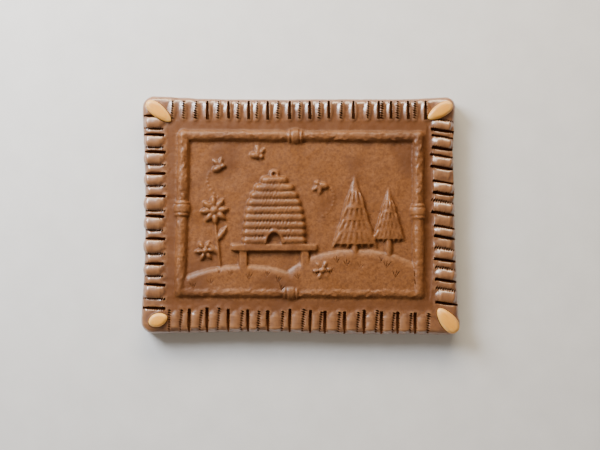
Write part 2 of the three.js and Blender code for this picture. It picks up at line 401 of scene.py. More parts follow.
def leaf(name: str, point: float = 0.62) -> Piece:
    """Return a pattern of unit half length along X, drawn out to a point at both ends.

    Args:
        name: the pattern's name.
        point: how far the shape is pinched between its middle and its ends.

    Returns:
        The pattern.
    """
    bpy.ops.mesh.primitive_uv_sphere_add(segments=12, ring_count=10, radius=1.0)
    made = fresh(name)
    made.data.transform(Matrix.Rotation(math.pi / 2, 4, "Y"))
    for side in (-1, 1):
        scale_points(made, lambda p, side=side: 0.5 < side * p.x * MM < 0.99, (1.0, point, 1.0))
    return made


# The slab


@dataclass(frozen=True)
class Pull:
    """A spot of the slab's outline, and how far a hand has drawn it out of the rectangle."""

    spot: Place
    way: Place
    reach: float


@dataclass
class DoughSlab:
    """The flat-lying slab of dough, its outline drawn out of the rectangle here and there.

    columns and rows divide its outline. A hand that pulls at a spot grasps what is nearer than
    grasp. An edge within near of the rectangle counts as the outline's.
    """

    length: float = 240.0
    width: float = 180.8
    height: float = 17.0
    corner: float = 9.5
    rim: float = 5.2
    foot: float = 2.0
    floor_drop: float = 0.8
    columns: int = 12
    rows: int = 9
    grasp: float = 11.0
    rim_steps: int = 6
    foot_steps: int = 3
    near: float = 1.0
    pulls: tuple[Pull, ...] = (
        Pull((120, 50), (-2.4, 0), 78),
        Pull((40, -90), (0, -0.8), 70),
        Pull((-40, -90), (0, 1.1), 70),
        Pull((-120, -90), (-2.9, -0.3), 62),
        Pull((120, -90), (2.6, -1.5), 60),
        Pull((120, 90), (2.2, 2.2), 38),
        Pull((-120, 90), (-2.4, 2.6), 62),
    )

    @property
    def picture_floor(self) -> float:
        """Return the height of the picture's ground."""
        return self.height - self.floor_drop

    def build(self) -> Piece:
        """Draw the outline from a grid, pull its corners out, raise it and round it.

        Returns:
            The slab, closed and with its underside at zero.
        """
        bpy.ops.mesh.primitive_grid_add(x_subdivisions=self.columns, y_subdivisions=self.rows, size=1)
        bpy.context.object.scale = (self.length * MM, self.width * MM, 1)
        slab = fresh("slab")
        for pull in self.pulls:
            self._draw_out(slab, pull)
        with shaping(slab, "FACE"):
            bpy.ops.mesh.select_all(action="SELECT")
            extrude_up(self.height)
        round_edges(slab, self.corner, self.rim_steps, self._at_corner)
        hair = 0.01
        top = self.height - hair
        round_edges(
            slab, self.rim, self.rim_steps, lambda a, b: min(a.z, b.z) > top and self._on_rim(a, b)
        )
        round_edges(
            slab, self.foot, self.foot_steps, lambda a, b: max(a.z, b.z) < hair and self._on_rim(a, b)
        )
        slab.data.transform(Matrix.Translation(SHIFT * MM))
        return slab

    @property
    def _half(self) -> Pair:
        """Return how far from the middle an edge has to be to count as the outline's."""
        return self.length / 2 - self.near, self.width / 2 - self.near

    def _at_corner(self, a: Vector, b: Vector) -> bool:
        """Return whether an edge stands upright in a corner of the outline."""
        half_x, half_y = self._half
        return abs(a.z - b.z) > 1 and abs(a.x) > half_x and abs(a.y) > half_y

    def _on_rim(self, a: Vector, b: Vector) -> bool:
        """Return whether an edge runs along the outline, or is a short one of a round corner.

        Args:
            a: one end of the edge, in millimetres.
            b: its other end.

        Returns:
            True if it does.
        """
        half_x, half_y = self._half
        middle = (a + b) / 2
        out = abs(middle.x) - half_x > 0 or abs(middle.y) - half_y > 0
        in_corner = abs(middle.x) > half_x - self.corner and abs(middle.y) > half_y - self.corner
        return out or (in_corner and (a - b).length < self.corner)

    def _draw_out(self, slab: Piece, pull: Pull) -> None:
        """Pull one spot of the flat outline, and what is round it, out of the rectangle.

        Args:
            slab: the flat slab.
            pull: the spot, and how far it is pulled.
        """
        mark_points(slab, lambda p: (p.xy - Vector(pull.spot)).length < self.grasp)
        with shaping(slab):
            bpy.ops.transform.translate(
                value=(pull.way[0] * MM, pull.way[1] * MM, 0),
                use_proportional_edit=True,
                proportional_edit_falloff="SMOOTH",
                proportional_size=pull.reach * MM,
            )


# The pinched border


@dataclass(frozen=True)
class Side:
    """One side of the border, walked clockwise from the top.

    Each ridge has its middle, counted along the walk from the side's middle, and its width. Before
    it is a row of tooth marks, and after it an open cut. leans are how far the two are turned.
    The ridges whose numbers are marked have tooth marks on both sides. The tooth marks before the
    joined ones run together. lone is an open cut without a ridge.
    """

    turn: float
    edge: float
    slant: float
    reach: float
    margin: float
    rise: float
    strip_rise: float
    bulge: float
    lip: float
    leans: Pair
    ridges: tuple[Pair, ...]
    marked: tuple[int, ...] = ()
    joined: tuple[int, ...] = ()
    lone: tuple[float, ...] = ()
    mark_size: float = 1.0
    pivot: float = 9.0

    def carry(self, place: float, lean: float) -> Matrix:
        """Return the matrix from the side's middle to a place on it.

        Args:
            place: how far along the walk, in millimetres.
            lean: how far the shape is turned about the middle of a cut, in degrees.

        Returns:
            A matrix for shapes with +X along the walk and +Y outwards, zero at the slab's edge.
        """
        edge = self.edge + self.slant * place
        return (
            Matrix.Translation(SHIFT * MM)
            @ Matrix.Rotation(math.radians(self.turn), 4, "Z")
            @ Matrix.Translation((place * MM, (edge - self.pivot) * MM, 0))
            @ Matrix.Rotation(math.radians(lean), 4, "Z")
            @ Matrix.Translation((0, self.pivot * MM, 0))
        )


@dataclass(frozen=True)
class Row:
    """One cut of the tongs: how it is made, where it is and how far in it begins."""

    side: Side
    cut: Cut
    place: float
    lean: float
    reach: float
    seed: float

    @property
    def outer(self) -> float:
        """Return where the cut ends, from the slab's edge."""
        return -self.side.margin if self.side.margin else OVER_EDGE

    def carry(self, along: float = 0.0, height: float = 0.0) -> Matrix:
        """Return the matrix to a spot of the cut, along millimetres out from the slab's edge."""
        base = self.side.carry(self.place, self.lean)
        return base @ Matrix.Translation((0, along * MM, height * MM))


@dataclass
class CrimpedBorder:
    """The ridges, strips and cuts that the toothed tongs pinch into the slab's border.

    A chain has steps balls on the slab's top, and fall says how far back and how far down each
    ball over the edge lies. chain_ends are how far it stops short of a cut's inner end, of a flat
    edge and of a bulging one. lip_widths are half a lip's width at an open cut and at tooth marks.
    lip_ends and trough_ends are how far those run past a cut's two ends, and short_lip is how far
    a lip runs past a cut's inner end and back. A trough and the valley have half a width and a
    depth.
    """

    slab: DoughSlab
    roundness: float = 3.4
    tooth_pitch: float = 1.8
    clearance: float = 5.0
    taper: float = 0.62
    outer_slit: float = 0.7
    uneven_lean: float = 1.2
    uneven_reach: float = 0.8
    uneven_rise: float = 0.14
    uneven_mark: float = 0.16
    uneven_tooth: float = 0.15
    ridge_overlap: float = 0.3
    strip_overlap: float = 0.9
    strip_inset: float = 1.3
    least_strip: float = 2.5
    ball_length: float = 3.0
    chain_ends: Triple = (1.2, 3.2, 1.3)
    steps: int = 7
    fall: tuple[Pair, ...] = ((0.3, 1.8), (0.0, 4.8), (0.2, 7.6), (0.9, 10.0))
    lip_widths: Pair = (3.5, 3.1)
    lip_ends: Pair = (2.0, 0.4)
    short_lip: Pair = (1.9, 4.4)
    open_trough: Pair = (1.4, 1.5)
    dotted_trough: Pair = (1.1, 0.8)
    trough_ends: Pair = (0.6, 0.8)
    valley_out: float = 7.6
    valley_over: float = 8.0
    valley_size: Pair = (4.2, 1.4)
    top: Side = Side(
        turn=0, edge=90.4, slant=0, reach=16.1, margin=2, rise=0.35, strip_rise=0.3, bulge=-1,
        lip=1.5, leans=(-2.5, 0), marked=(0,),
        ridges=(
            (-94.2, 8.7), (-76, 9), (-59.2, 8), (-43.8, 8.2), (-29.2, 8.3), (-12.7, 9), (3.4, 7.8),
            (18.3, 7.3), (36.3, 9.3), (56.3, 8.2), (66.4, 7), (79, 8.2), (92.3, 8.3),
        ),
    )
    right: Side = Side(
        turn=-90, edge=119.2, slant=0.022, reach=17.8, margin=0, rise=2.6, strip_rise=0.9,
        bulge=0.8, lip=0.5, leans=(-9.3, -8.6), joined=(1, 2, 3, 5),
        ridges=(
            (-69.8, 8.5), (-56.2, 9.1), (-41.3, 9), (-21.4, 8.8), (-6.1, 9.2),
            (12.7, 7.8), (29.8, 8.8), (45.1, 9.3), (62, 10.8),
        ),
    )
    bottom: Side = Side(
        turn=180, edge=90, slant=-0.014, reach=18, margin=0, rise=1.2, strip_rise=0.6,
        bulge=0.6, lip=0.5, leans=(-4.5, -0.5), marked=(13,),
        ridges=(
            (-93.2, 10), (-79.8, 10), (-66.9, 9.2), (-53.8, 9.5), (-39.2, 10.3), (-24.4, 10.8),
            (-11.7, 8), (2.9, 10.3), (19.2, 11.3), (36, 8.4), (50, 10.5), (67.1, 8.8), (80.7, 9),
            (96, 9),
        ),
    )
    left: Side = Side(
        turn=90, edge=120.2, slant=0, reach=16.2, margin=0, rise=2.6, strip_rise=0.9, bulge=1.1,
        lip=0.6, leans=(-1, -2), lone=(-71.1,), mark_size=0.75,
        ridges=(
            (-58.4, 10.6), (-41.8, 9.5), (-23.6, 11.7), (-5.9, 10.7), (9.4, 11.3),
            (27.6, 9.6), (44.1, 9.9), (57.4, 9.8), (71.8, 9.7),
        ),
    )

    @property
    def sides(self) -> tuple[Side, Side, Side, Side]:
        """Return the four sides in the order of the walk."""
        return self.top, self.right, self.bottom, self.left

    def _uneven(self, side: Side, number: int) -> Triple:
        """Work out what is a ridge's own, as the solids' source has it.

        Args:
            side: the ridge's side.
            number: its number on that side.

        Returns:
            Its seed, its extra lean and its reach.
        """
        seed = self.sides.index(side) * 100 + number
        reach = side.reach + self.uneven_reach * wobble(seed + 0.75)
        return seed, self.uneven_lean * wobble(seed + 0.5), reach

    def rows(self) -> list[Row]:
        """List the cuts of the border.

        Returns:
            Every cut, side by side.
        """
        found = []
        for side in self.sides:
            for number, (place, width) in enumerate(side.ridges):
                seed, turned, reach = self._uneven(side, number)
                before, after = (lean + turned for lean in side.leans)
                first = Cut.JOINED if number in side.joined else Cut.DOTTED
                last = Cut.DOTTED if number in side.marked else Cut.OPEN
                found.append(Row(side, first, place - width / 2, before, reach, seed))
                found.append(Row(side, last, place + width / 2, after, reach, seed + 50))
            for place in side.lone:
                found.append(Row(side, Cut.OPEN, place, side.leans[1], side.reach, place))
        return found

    def ridges(self) -> Piece:
        """Raise the ridges, each a chain of balls that the dough melts together.

        Returns:
            All ridges.
        """
        places = []
        for side in self.sides:
            for number, (place, width) in enumerate(side.ridges):
                seed, turned, reach = self._uneven(side, number)
                carry = side.carry(place, sum(side.leans) / 2 + turned)
                rise = side.rise * (1 + self.uneven_rise * wobble(seed + 0.35))
                wide = width / 2 + self.ridge_overlap
                places += self._chain(side, carry, reach, wide, rise, side.bulge, seed)
        return stamped(ball("ridge"), places, "ridges")

    def strips(self) -> Piece:
        """Raise the lower strips between an open cut and the next row of tooth marks.

        Returns:
            All strips.
        """
        places = []
        for side in self.sides:
            for number, (near, far) in enumerate(zip(side.ridges, side.ridges[1:])):
                start, end = near[0] + near[1] / 2, far[0] - far[1] / 2
                if end - start > self.least_strip:
                    seed, turned, reach = self._uneven(side, number)
                    carry = side.carry((start + end) / 2, sum(side.leans) / 2 + turned)
                    wide, rise = (end - start) / 2 + self.strip_overlap, side.strip_rise
                    bulge = side.bulge - self.strip_inset
                    places += self._chain(side, carry, reach, wide, rise, bulge, seed + 0.9)
        return stamped(ball("strip"), places, "strips")

    def _chain(
        self,
        side: Side,
        carry: Matrix,
        reach: float,
        half_width: float,
        rise: float,
        bulge: float,
        seed: float,
    ) -> list[Matrix]:
        """Return the places of balls that run from the picture's side over the rim.

        Args:
            side: the side that they are on.
            carry: the matrix to their place on it.
            reach: how far in they begin.
            half_width: half the ridge's width where it is widest.
            rise: how far it stands out of the slab's top.
            bulge: how far it stands out of the slab's edge.
            seed: makes each chain uneven in its own way.

        Returns:
            One place for each ball of unit radius.
        """
        thick = self.roundness
        crest = self.slab.height + rise - thick
        inner = self.chain_ends[0] - reach
        flat_end, round_end = -side.margin - self.chain_ends[1], bulge - thick - self.chain_ends[2]
        outer = flat_end if side.margin else round_end
        path = []
        for i in range(self.steps):
            share = i / (self.steps - 1)
            fade = math.sin(min(1.0, share * 1.9 + 0.12) * math.pi / 2)
            if side.margin:
                fade *= 1 - 0.5 * share**4
            lift = crest - rise * (1 - fade)
            path.append((inner + (outer - inner) * share, lift, self.ball_length))
        if not side.margin:
            path += [(bulge - thick - back, crest - down, thick) for back, down in self.fall]
        places = []
        for i, (y, z, long) in enumerate(path):
            wide = half_width * (1 + 0.03 * wobble(seed * 5 + i))
            wide *= 0.86 + 0.14 * min(1.0, i / 2)
            spot = Matrix.Translation((0, y * MM, z * MM))
            places.append(carry @ spot @ sized(wide, long, thick))
        return places

    def lips(self) -> Piece:
        """Return the swollen lips that the tongs push up round each cut.

        Where the border is flat they run along the whole cut, and elsewhere round its inner end.

        Returns:
            All lips.
        """
        places = []
        for row in self.rows():
            wide = self.lip_widths[0] if row.cut is Cut.OPEN else self.lip_widths[1]
            if row.side.margin:
                inner, outer = -row.reach - self.lip_ends[0], row.outer + self.lip_ends[1]
            else:
                inner, outer = -row.reach - self.short_lip[0], -row.reach + self.short_lip[1]
            spot = row.carry((inner + outer) / 2, self.slab.height)
            places.append(spot @ sized(wide, (outer - inner) / 2, row.side.lip))
        return stamped(ball("lip"), places, "lips")

    def troughs(self) -> Piece:
        """Make the soft troughs that the jaws press.

        Returns:
            All troughs, as cutters.
        """
        places = []
        for row in self.rows():
            wide, deep = self.open_trough if row.cut is Cut.OPEN else self.dotted_trough
            inner, outer = -row.reach - self.trough_ends[0], row.outer + self.trough_ends[1]
            spot = row.carry((inner + outer) / 2, self.slab.height)
            places.append(spot @ sized(wide, (outer - inner) / 2, deep))
        return stamped(ball("trough"), places, "troughs")

    def valley(self, rods: RodFrame) -> Piece:
        """Make the soft valley between the right rod and the pinches beside it.

        Args:
            rods: the rods round the picture.

        Returns:
            The valley, as a cutter.
        """
        middle = (rods.top + rods.bottom) / 2
        tall = (rods.top - rods.bottom) / 2 + self.valley_over
        wide, deep = self.valley_size
        spot = at(rods.right + self.valley_out, middle, self.slab.height) @ sized(wide, tall, deep)
        return stamped(ball("valley", 32, 16), [spot], "valley")

    def _tooth(self, size: Tooth) -> Piece:
        """Return the diamond-shaped wedge that one tooth of the tongs presses, as a cutter.

        Args:
            size: the tooth's sizes.

        Returns:
            The wedge, under the origin, with its top above all ridges.
        """
        bpy.ops.mesh.primitive_cylinder_add(vertices=4, radius=0.5, depth=1)
        bpy.context.object.scale = (size.wide * MM, size.long * MM, size.deep * MM)
        tooth = fresh("tooth")
        tooth.data.transform(Matrix.Translation((0, 0, -size.deep / 2 * MM)))
        scale_points(tooth, lambda p: p.z < -size.deep / 2, (self.taper, self.taper, 1.0))
        self._raise_top(tooth)
        mark_points(tooth, lambda p: abs(p.x) > 0.1)
        with shaping(tooth):
            bpy.ops.transform.rotate(
                value=math.radians(size.skew), orient_axis="Z", center_override=(0, 0, 0)
            )
        return tooth

    def _raise_top(self, cutter: Piece) -> None:
        """Raise a cutter's top from the slab's top to above all ridges."""
        mark_points(cutter, lambda p: p.z > -0.01)
        with shaping(cutter):
            extrude_up(self.clearance)

    def _slit(self, wide: float, deep: float) -> Piece:
        """Return the narrow slit that joins the tooth marks of a cut, 1 mm long.

        Args:
            wide: its width at the slab's top, where it is widest.
            deep: how far it reaches under the slab's top.

        Returns:
            The slit, wider at its inner end, as a cutter.
        """
        bpy.ops.mesh.primitive_cube_add(size=1, location=(0, 0, -deep / 2 * MM))
        bpy.context.object.scale = (wide * MM, MM, deep * MM)
        slit = fresh("slit")
        scale_points(slit, lambda p: p.z < -deep / 2, (self.taper, 1.0, 1.0))
        self._raise_top(slit)
        scale_points(slit, lambda p: p.y > 0, (self.outer_slit, 1.0, 1.0))
        return slit

    def cuts(self, finish: Material) -> list[Piece]:
        """Return every open cut and tooth mark, as cutters.

        Args:
            finish: the darker material of the dough inside a cut, painted shade in it.

        Returns:
            One piece for each kind of mark.
        """
        height = self.slab.height
        pieces = []
        for cut, tooth in TEETH.items():
            marks, slits = [], []
            for row in self.rows():
                if row.cut is not cut:
                    continue
                count = int((row.outer + row.reach - 0.6) / self.tooth_pitch) + 1
                spread = 1 + self.uneven_mark * wobble(row.seed + 0.6)
                spread *= row.side.mark_size if row.cut is Cut.DOTTED else 1
                for i in range(count):
                    out = row.outer - 0.4 - i * self.tooth_pitch
                    aside = self.uneven_mark * wobble(row.seed * 7 + i) * MM
                    drift = Matrix.Translation((aside, 0, 0))
                    grow = 1 + self.uneven_tooth * wobble(row.seed * 3 + i)
                    size = Matrix.Diagonal((spread * grow * (0.8 + 0.3 * i / count), grow, 1, 1))
                    marks.append(row.carry(out, height) @ drift @ size)
                inner = -row.reach + 0.2
                slit = row.carry((inner + row.outer) / 2, height)
                slits.append(slit @ Matrix.Diagonal((1, row.outer - inner, 1, 1)))
            pieces.append(stamped(self._tooth(tooth), marks, f"{cut.name} teeth"))
            if tooth.slit:
                pieces.append(stamped(self._slit(tooth.slit, tooth.deep), slits, f"{cut.name} slits"))
        for piece in pieces:
            piece.data.materials.append(finish)
        return pieces


# The rods


@dataclass(frozen=True)
class Rod:
    """Where a rod begins and ends, where its rings are, and how its bark is.

    ring_at and crinkled are shares of its length. Between the two of crinkled the bark is coarse
    times coarser. lower is how much deeper the rod lies than the others.
    """

    start: Place
    end: Place
    ring_at: float
    crinkled: Pair
    coarse: float
    lower: float

    @property
    def length(self) -> float:
        """Return the rod's length."""
        return (Vector(self.end) - Vector(self.start)).length

    @property
    def turn(self) -> float:
        """Return the rod's direction, in degrees from +X."""
        run = Vector(self.end) - Vector(self.start)
        return math.degrees(math.atan2(run.y, run.x))


@dataclass
class RodFrame:
    """The four rods round the picture, each with a big ring between two small ones.

    knob is half the size of a corner's knob. rings are where a rod swells or draws in about its
    big ring, and station is how far apart its slighter swellings are. stroke is half the length
    and width of a stroke of the bark, and its thickness. stroke_aside is how far to the side the
    strokes lie, and stroke_gap how far from the big ring they stop.
    """

    slab: DoughSlab
    radius: float = 4.7
    rise: float = 4.7
    sunk: float = 1.6
    highest_swell: float = 1.22
    knob: Triple = (5.1, 5.1, 4.9)
    knob_drop: float = 0.5
    rings: tuple[float, ...] = (-6.0, -5.0, -3.9, -3.2, -2.4, 2.4, 3.2, 3.9, 5.0, 6.0)
    station: float = 9.0
    uneven: float = 0.045
    stroke: Triple = (2.6, 0.85, 0.55)
    stroke_aside: float = 2.6
    stroke_pitch: float = 2.4
    stroke_gap: float = 7.5
    left: float = -89.5
    right: float = 91.0
    bottom: float = -58.5
    top: float = 62.0

    @property
    def corners(self) -> tuple[Place, Place, Place, Place]:
        """Return the corners: lower left, lower right, upper right and upper left."""
        return (
            (self.left - 3, self.bottom),
            (self.right, self.bottom - 1),
            (self.right, self.top - 1),
            (self.left, self.top),
        )

    def build(self) -> Piece:
        """Make the rods with their rings, bark and corner knobs.

        Returns:
            All four rods, joined.
        """
        lower_left, lower_right, upper_right, upper_left = self.corners
        runs = (
            Rod(upper_left, upper_right, 0.475, (0.62, 0.94), 1.2, 0.6),
            Rod(lower_left, lower_right, 0.465, (0.16, 0.40), 1.1, 0.7),
            Rod(lower_left, upper_left, 0.53, (0.60, 1.0), 1.6, 0.0),
            Rod(lower_right, upper_right, 0.52, (0.56, 0.97), 1.45, 0.0),
        )
        parts = []
        for number, rod in enumerate(runs):
            parts.append(self._rod(rod, number))
            parts.append(self._bark(rod, number))
        z = self.slab.height - self.sunk
        knobs = [at(x, y, z) @ sized(*self.knob) for x, y in self.corners[2:]]
        knobs += [at(x, y, z - self.knob_drop) @ sized(*self.knob) for x, y in self.corners[:2]]
        parts.append(stamped(ball("knob"), knobs, "knobs"))
        return joined(parts, "rods")

    def _rod(self, plan: Rod, seed: int) -> Piece:
        """Return one rod, as a cylinder cut into lengths that are swollen or drawn in.

        Args:
            plan: where the rod is.
            seed: makes each rod's swellings its own.

        Returns:
            The rod in its place.
        """
        length = plan.length
        bpy.ops.mesh.primitive_cylinder_add(vertices=20, radius=self.radius * MM, depth=length * MM)
        rod = fresh("rod")
        ring = (plan.ring_at - 0.5) * length
        stations = [(ring + z, self._ring_swell(z)) for z in self.rings]
        steps = round(length / self.station)
        for i in range(1, steps):
            z = (i / steps - 0.5) * length
            if abs(z - ring) > self.station:
                stations.append((z, 1 + self.uneven * wobble(seed * 40 + i)))
        with shaping(rod):
            for z, _ in stations:
                bpy.ops.mesh.select_all(action="SELECT")
                bpy.ops.mesh.bisect(plane_co=(0, 0, z * MM), plane_no=(0, 0, 1))
        for z, swell in stations:
            value = (min(swell, self.highest_swell), swell, 1.0)
            scale_points(rod, lambda p, z=z: abs(p.z - z) < 0.05, value, (0, 0, z * MM))
        flat = Matrix.Diagonal((1, 1, self.rise / self.radius, 1))
        lay = Matrix.Rotation(math.pi / 2, 4, "Y")
        middle = (Vector(plan.start) + Vector(plan.end)) / 2
        height = self.slab.height - self.sunk - plan.lower
        rod.data.transform(at(middle.x, middle.y, height, plan.turn) @ flat @ lay)
        return rod

    def _ring_swell(self, z: float) -> float:
        """Say how wide the rod is near its rings.

        Args:
            z: a distance from the big ring's middle.

        Returns:
            The width there, as a share of the rod's own.
        """
        away = abs(z)
        if away < 3:
            return 1.36
        if away < 3.5:
            return 0.94
        return 1.2 if away < 5.5 else 0.94

    def _bark(self, plan: Rod, seed: int) -> Piece:
        """Return the slanting strokes of a rod's bark.

        Args:
            plan: where the rod is and how coarse its bark is.
            seed: makes each rod's strokes its own.

        Returns:
            The strokes, lying on the rod.
        """
        length = plan.length
        long, wide, thick = self.stroke
        strokes = []
        count = round(length / self.stroke_pitch)
        for i in range(count):
            along = (i + 0.5 + 0.4 * wobble(seed * 60 + i)) / count * length
            if abs(along - plan.ring_at * length) < self.stroke_gap:
                continue
            left = self.stroke_aside * wobble(seed * 60 + i + 0.3)
            x, y = point_from(plan.start, plan.turn, along, left)
            height = self.rise * math.sqrt(1 - (left / self.radius) ** 2)
            slant = plan.turn + 30 * wobble(seed * 60 + i + 0.7)
            size = 1 + 0.45 * wobble(seed * 60 + i + 0.1)
            crinkled = plan.crinkled[0] < along / length < plan.crinkled[1]
            deeper = plan.coarse if crinkled else 1.0
            z = self.slab.height - self.sunk - plan.lower + height - 0.25
            stroke = sized(long * size, wide * deeper**0.4, thick * deeper)
            strokes.append(at(x, y, z, slant) @ stroke)
        return stamped(leaf("stroke"), strokes, "bark")


# The picture


@dataclass
class Skep:
    """A straw beehive, wound of rope, with an arched door and a loop on top.

    straw is how long a straw is, as a share of a coil, and how thick, and straw_lean how it leans
    on its rope. arch and loop are the radius of a ring and of its dough; the arch's is counted
    from the door. arched is how much higher than wide the door and its arch are.
    """

    middle: Place = (-20.0, -22.0)
    half_width: float = 23.0
    height: float = 52.0
    coils: int = 9
    rise: float = 4.1
    roundness: float = 2.3
    rope: float = 0.6
    straw_pitch: float = 2.7
    straw: Pair = (0.58, 0.95)
    straw_lean: float = 58.0
    straw_sunk: float = 0.45
    door: float = 6.0
    door_deep: float = 8.0
    door_lift: float = 4.6
    door_round: float = 1.2
    arched: Pair = (1.6, 1.55)
    arch: Pair = (0.7, 1.05)
    arch_lift: float = 3.4
    loop: Pair = (2.5, 1.15)
    loop_up: float = 1.7
    loop_lift: float = 0.8
    grain: float = 0.45

    def build(self, floor: float) -> Piece:
        """Make the skep on the picture's ground.

        Args:
            floor: the ground's height.

        Returns:
            Its ropes, straw, door arch and loop, joined.
        """
        x, y = self.middle
        pitch = self.height / self.coils
        thick = pitch * self.rope
        long, wide = self.straw
        ropes, ends, straws = [], [], []
        for i in range(self.coils):
            share = (i + 0.4) / self.coils
            half = self.half_width * math.sqrt(1 - share**self.roundness) + pitch * 0.2
            rise = self.rise * (0.8 + 0.2 * math.sqrt(1 - share))
            up = y + (i + 0.5) * pitch
            ropes.append(at(x, up, floor) @ sized(half - thick, thick, rise))
            for hand in (-1, 1):
                end = at(x + hand * (half - thick), up, floor)
                ends.append(end @ sized(thick * 1.15, thick, rise))
            count = round(2 * half / self.straw_pitch)
            for k in range(count):
                aside = (k + 0.5) / count * 2 - 1
                lift = rise * (1 - abs(aside) ** 6) ** 0.5 - self.straw_sunk
                lean = self.straw_lean + 5 * wobble(i * 31 + k)
                spot = at(x + aside * (half - 1.4), up, floor + lift, lean)
                straws.append(spot @ sized(pitch * long, wide, wide))
        parts = [
            stamped(self._rope(), ropes, "ropes"),
            stamped(ball("rope end", 16, 12), ends, "rope ends"),
            stamped(leaf("straw"), straws, "straws"),
        ]
        hive = joined(parts, "skep")
        softened(hive, self.grain, 0)
        size = {"radius": self.door * MM, "depth": self.door_deep * MM}
        bpy.ops.mesh.primitive_cylinder_add(vertices=24, **size)
        hollow = fresh("hollow")
        stretch = Matrix.Diagonal((1, self.arched[0], 1, 1))
        hollow.data.transform(at(x, y, floor + self.door_lift) @ stretch)
        round_edges(hollow, self.door_round, 3, lambda a, b: max(a.z, b.z) < floor + 1)
        combined(hive, hollow, Blend.CARVE)
        arch = hoop("arch", self.door + self.arch[0], self.arch[1], 32)
        stretch = Matrix.Diagonal((1, self.arched[1], 1, 1))
        arch.data.transform(at(x, y, floor + self.arch_lift) @ stretch)
        cut_away(arch, (0, y + 0.4, 0), (0, 1, 0))
        loop = hoop("loop", *self.loop, 24)
        loop.data.transform(at(x, y + self.height + self.loop_up, floor + self.loop_lift))
        return joined([hive, arch, loop], "skep")

    def _rope(self) -> Piece:
        """Make a rope of unit half length along X.

        Returns:
            The rope.
        """
        bpy.ops.mesh.primitive_cylinder_add(vertices=20, radius=1, depth=2)
        rope = fresh("rope")
        rope.data.transform(Matrix.Rotation(math.pi / 2, 4, "Y"))
        return rope


@dataclass
class Bench:
    """The plank on two legs that the skep stands on.

    A leg stands leg_at of the plank's length from its middle. rounded is how much of a beam's
    edges is rounded off, as a share of its thickness.
    """

    middle: Place = (-20.0, -24.5)
    length: float = 66.0
    plank: Pair = (5.2, 6.8)
    leg: Triple = (6.0, 18.0, 4.8)
    leg_at: float = 0.36
    rounded: float = 0.12

    def build(self, floor: float) -> Piece:
        """Make the bench on the picture's ground.

        Args:
            floor: the ground's height.

        Returns:
            Its plank and legs.
        """
        x, y = self.middle
        places = [at(x, y, floor) @ sized(self.length, *self.plank)]
        for share in (-self.leg_at, self.leg_at):
            spot = at(x + share * self.length, y - self.leg[1] / 2, floor, 2 * share)
            places.append(spot @ sized(*self.leg))
        bpy.ops.mesh.primitive_cube_add(size=1)
        beam = fresh("beam")
        with shaping(beam, "EDGE"):
            bpy.ops.mesh.select_all(action="SELECT")
            bpy.ops.mesh.bevel(offset=self.rounded, segments=3, affect="EDGES")
        return stamped(beam, places, "bench")


@dataclass
class Fir:
    """A fir tree of drooping tiers, each fanned out into boughs.

    taper is how much of the width the tiers lose from foot to top. tier is a tier's share of the
    height, and fan how far to the side the outer boughs hang. bough is a bough's share of the way
    from the tip to the tier's edge.
    """

    foot: Place
    half_width: float
    height: float
    tiers: int = 4
    rise: float = 3.4
    boughs: int = 7
    taper: float = 0.72
    tier: float = 0.42
    fan: float = 0.86
    bough: float = 0.29
    bough_thick: float = 1.6
    droop: float = 4.0
    trunk: Triple = (2.7, 11.0, 2.6)
    trunk_down: float = 5.0

    def build(self, floor: float) -> Piece:
        """Make the tree on the picture's ground.

        Args:
            floor: the ground's height.

        Returns:
            Its tiers, boughs and trunk, joined.
        """
        x, y = self.foot
        cones, boughs = [], []
        tall = self.height * self.tier
        slope = Matrix.Rotation(math.radians(self.droop), 4, "Y")
        for i in range(self.tiers):
            share = i / self.tiers
            radius = self.half_width * (1 - self.taper * share)
            rise = self.rise * (0.9 + 0.12 * i)
            middle = y + self.height * (0.21 + 0.59 * share)
            cones.append(at(x, middle, floor) @ sized(radius * 0.97, tall / 2, rise))
            tip = middle + tall * 0.5
            count = self.boughs - i
            for k in range(count):
                fan = (k / (count - 1) * 2 - 1) * self.fan
                turn = math.degrees(math.atan2(-tall, fan * radius))
                reach = math.hypot(fan * radius, tall) * (1.03 + 0.03 * wobble(i * 17 + k + x))
                size = reach * self.bough
                spot = point_from((x, tip), turn, reach - size * 0.8)
                lift = floor + rise * (0.93 - 0.5 * abs(fan)) * 0.72
                bough = sized(size, radius * 0.09 + 0.5, self.bough_thick)
                boughs.append(at(*spot, lift, turn) @ slope @ bough)
        bpy.ops.mesh.primitive_cone_add(vertices=24, radius1=1, radius2=0.03, depth=2)
        cone = fresh("tier")
        cone.data.transform(Matrix.Rotation(-math.pi / 2, 4, "X"))
        trunk = at(x, y - self.trunk_down, floor) @ sized(*self.trunk)
        parts = [
            stamped(cone, cones, "tiers"),
            stamped(leaf("bough", 0.7), boughs, "boughs"),
            stamped(ball("trunk"), [trunk], "trunk"),
        ]
        return joined(parts, "fir")


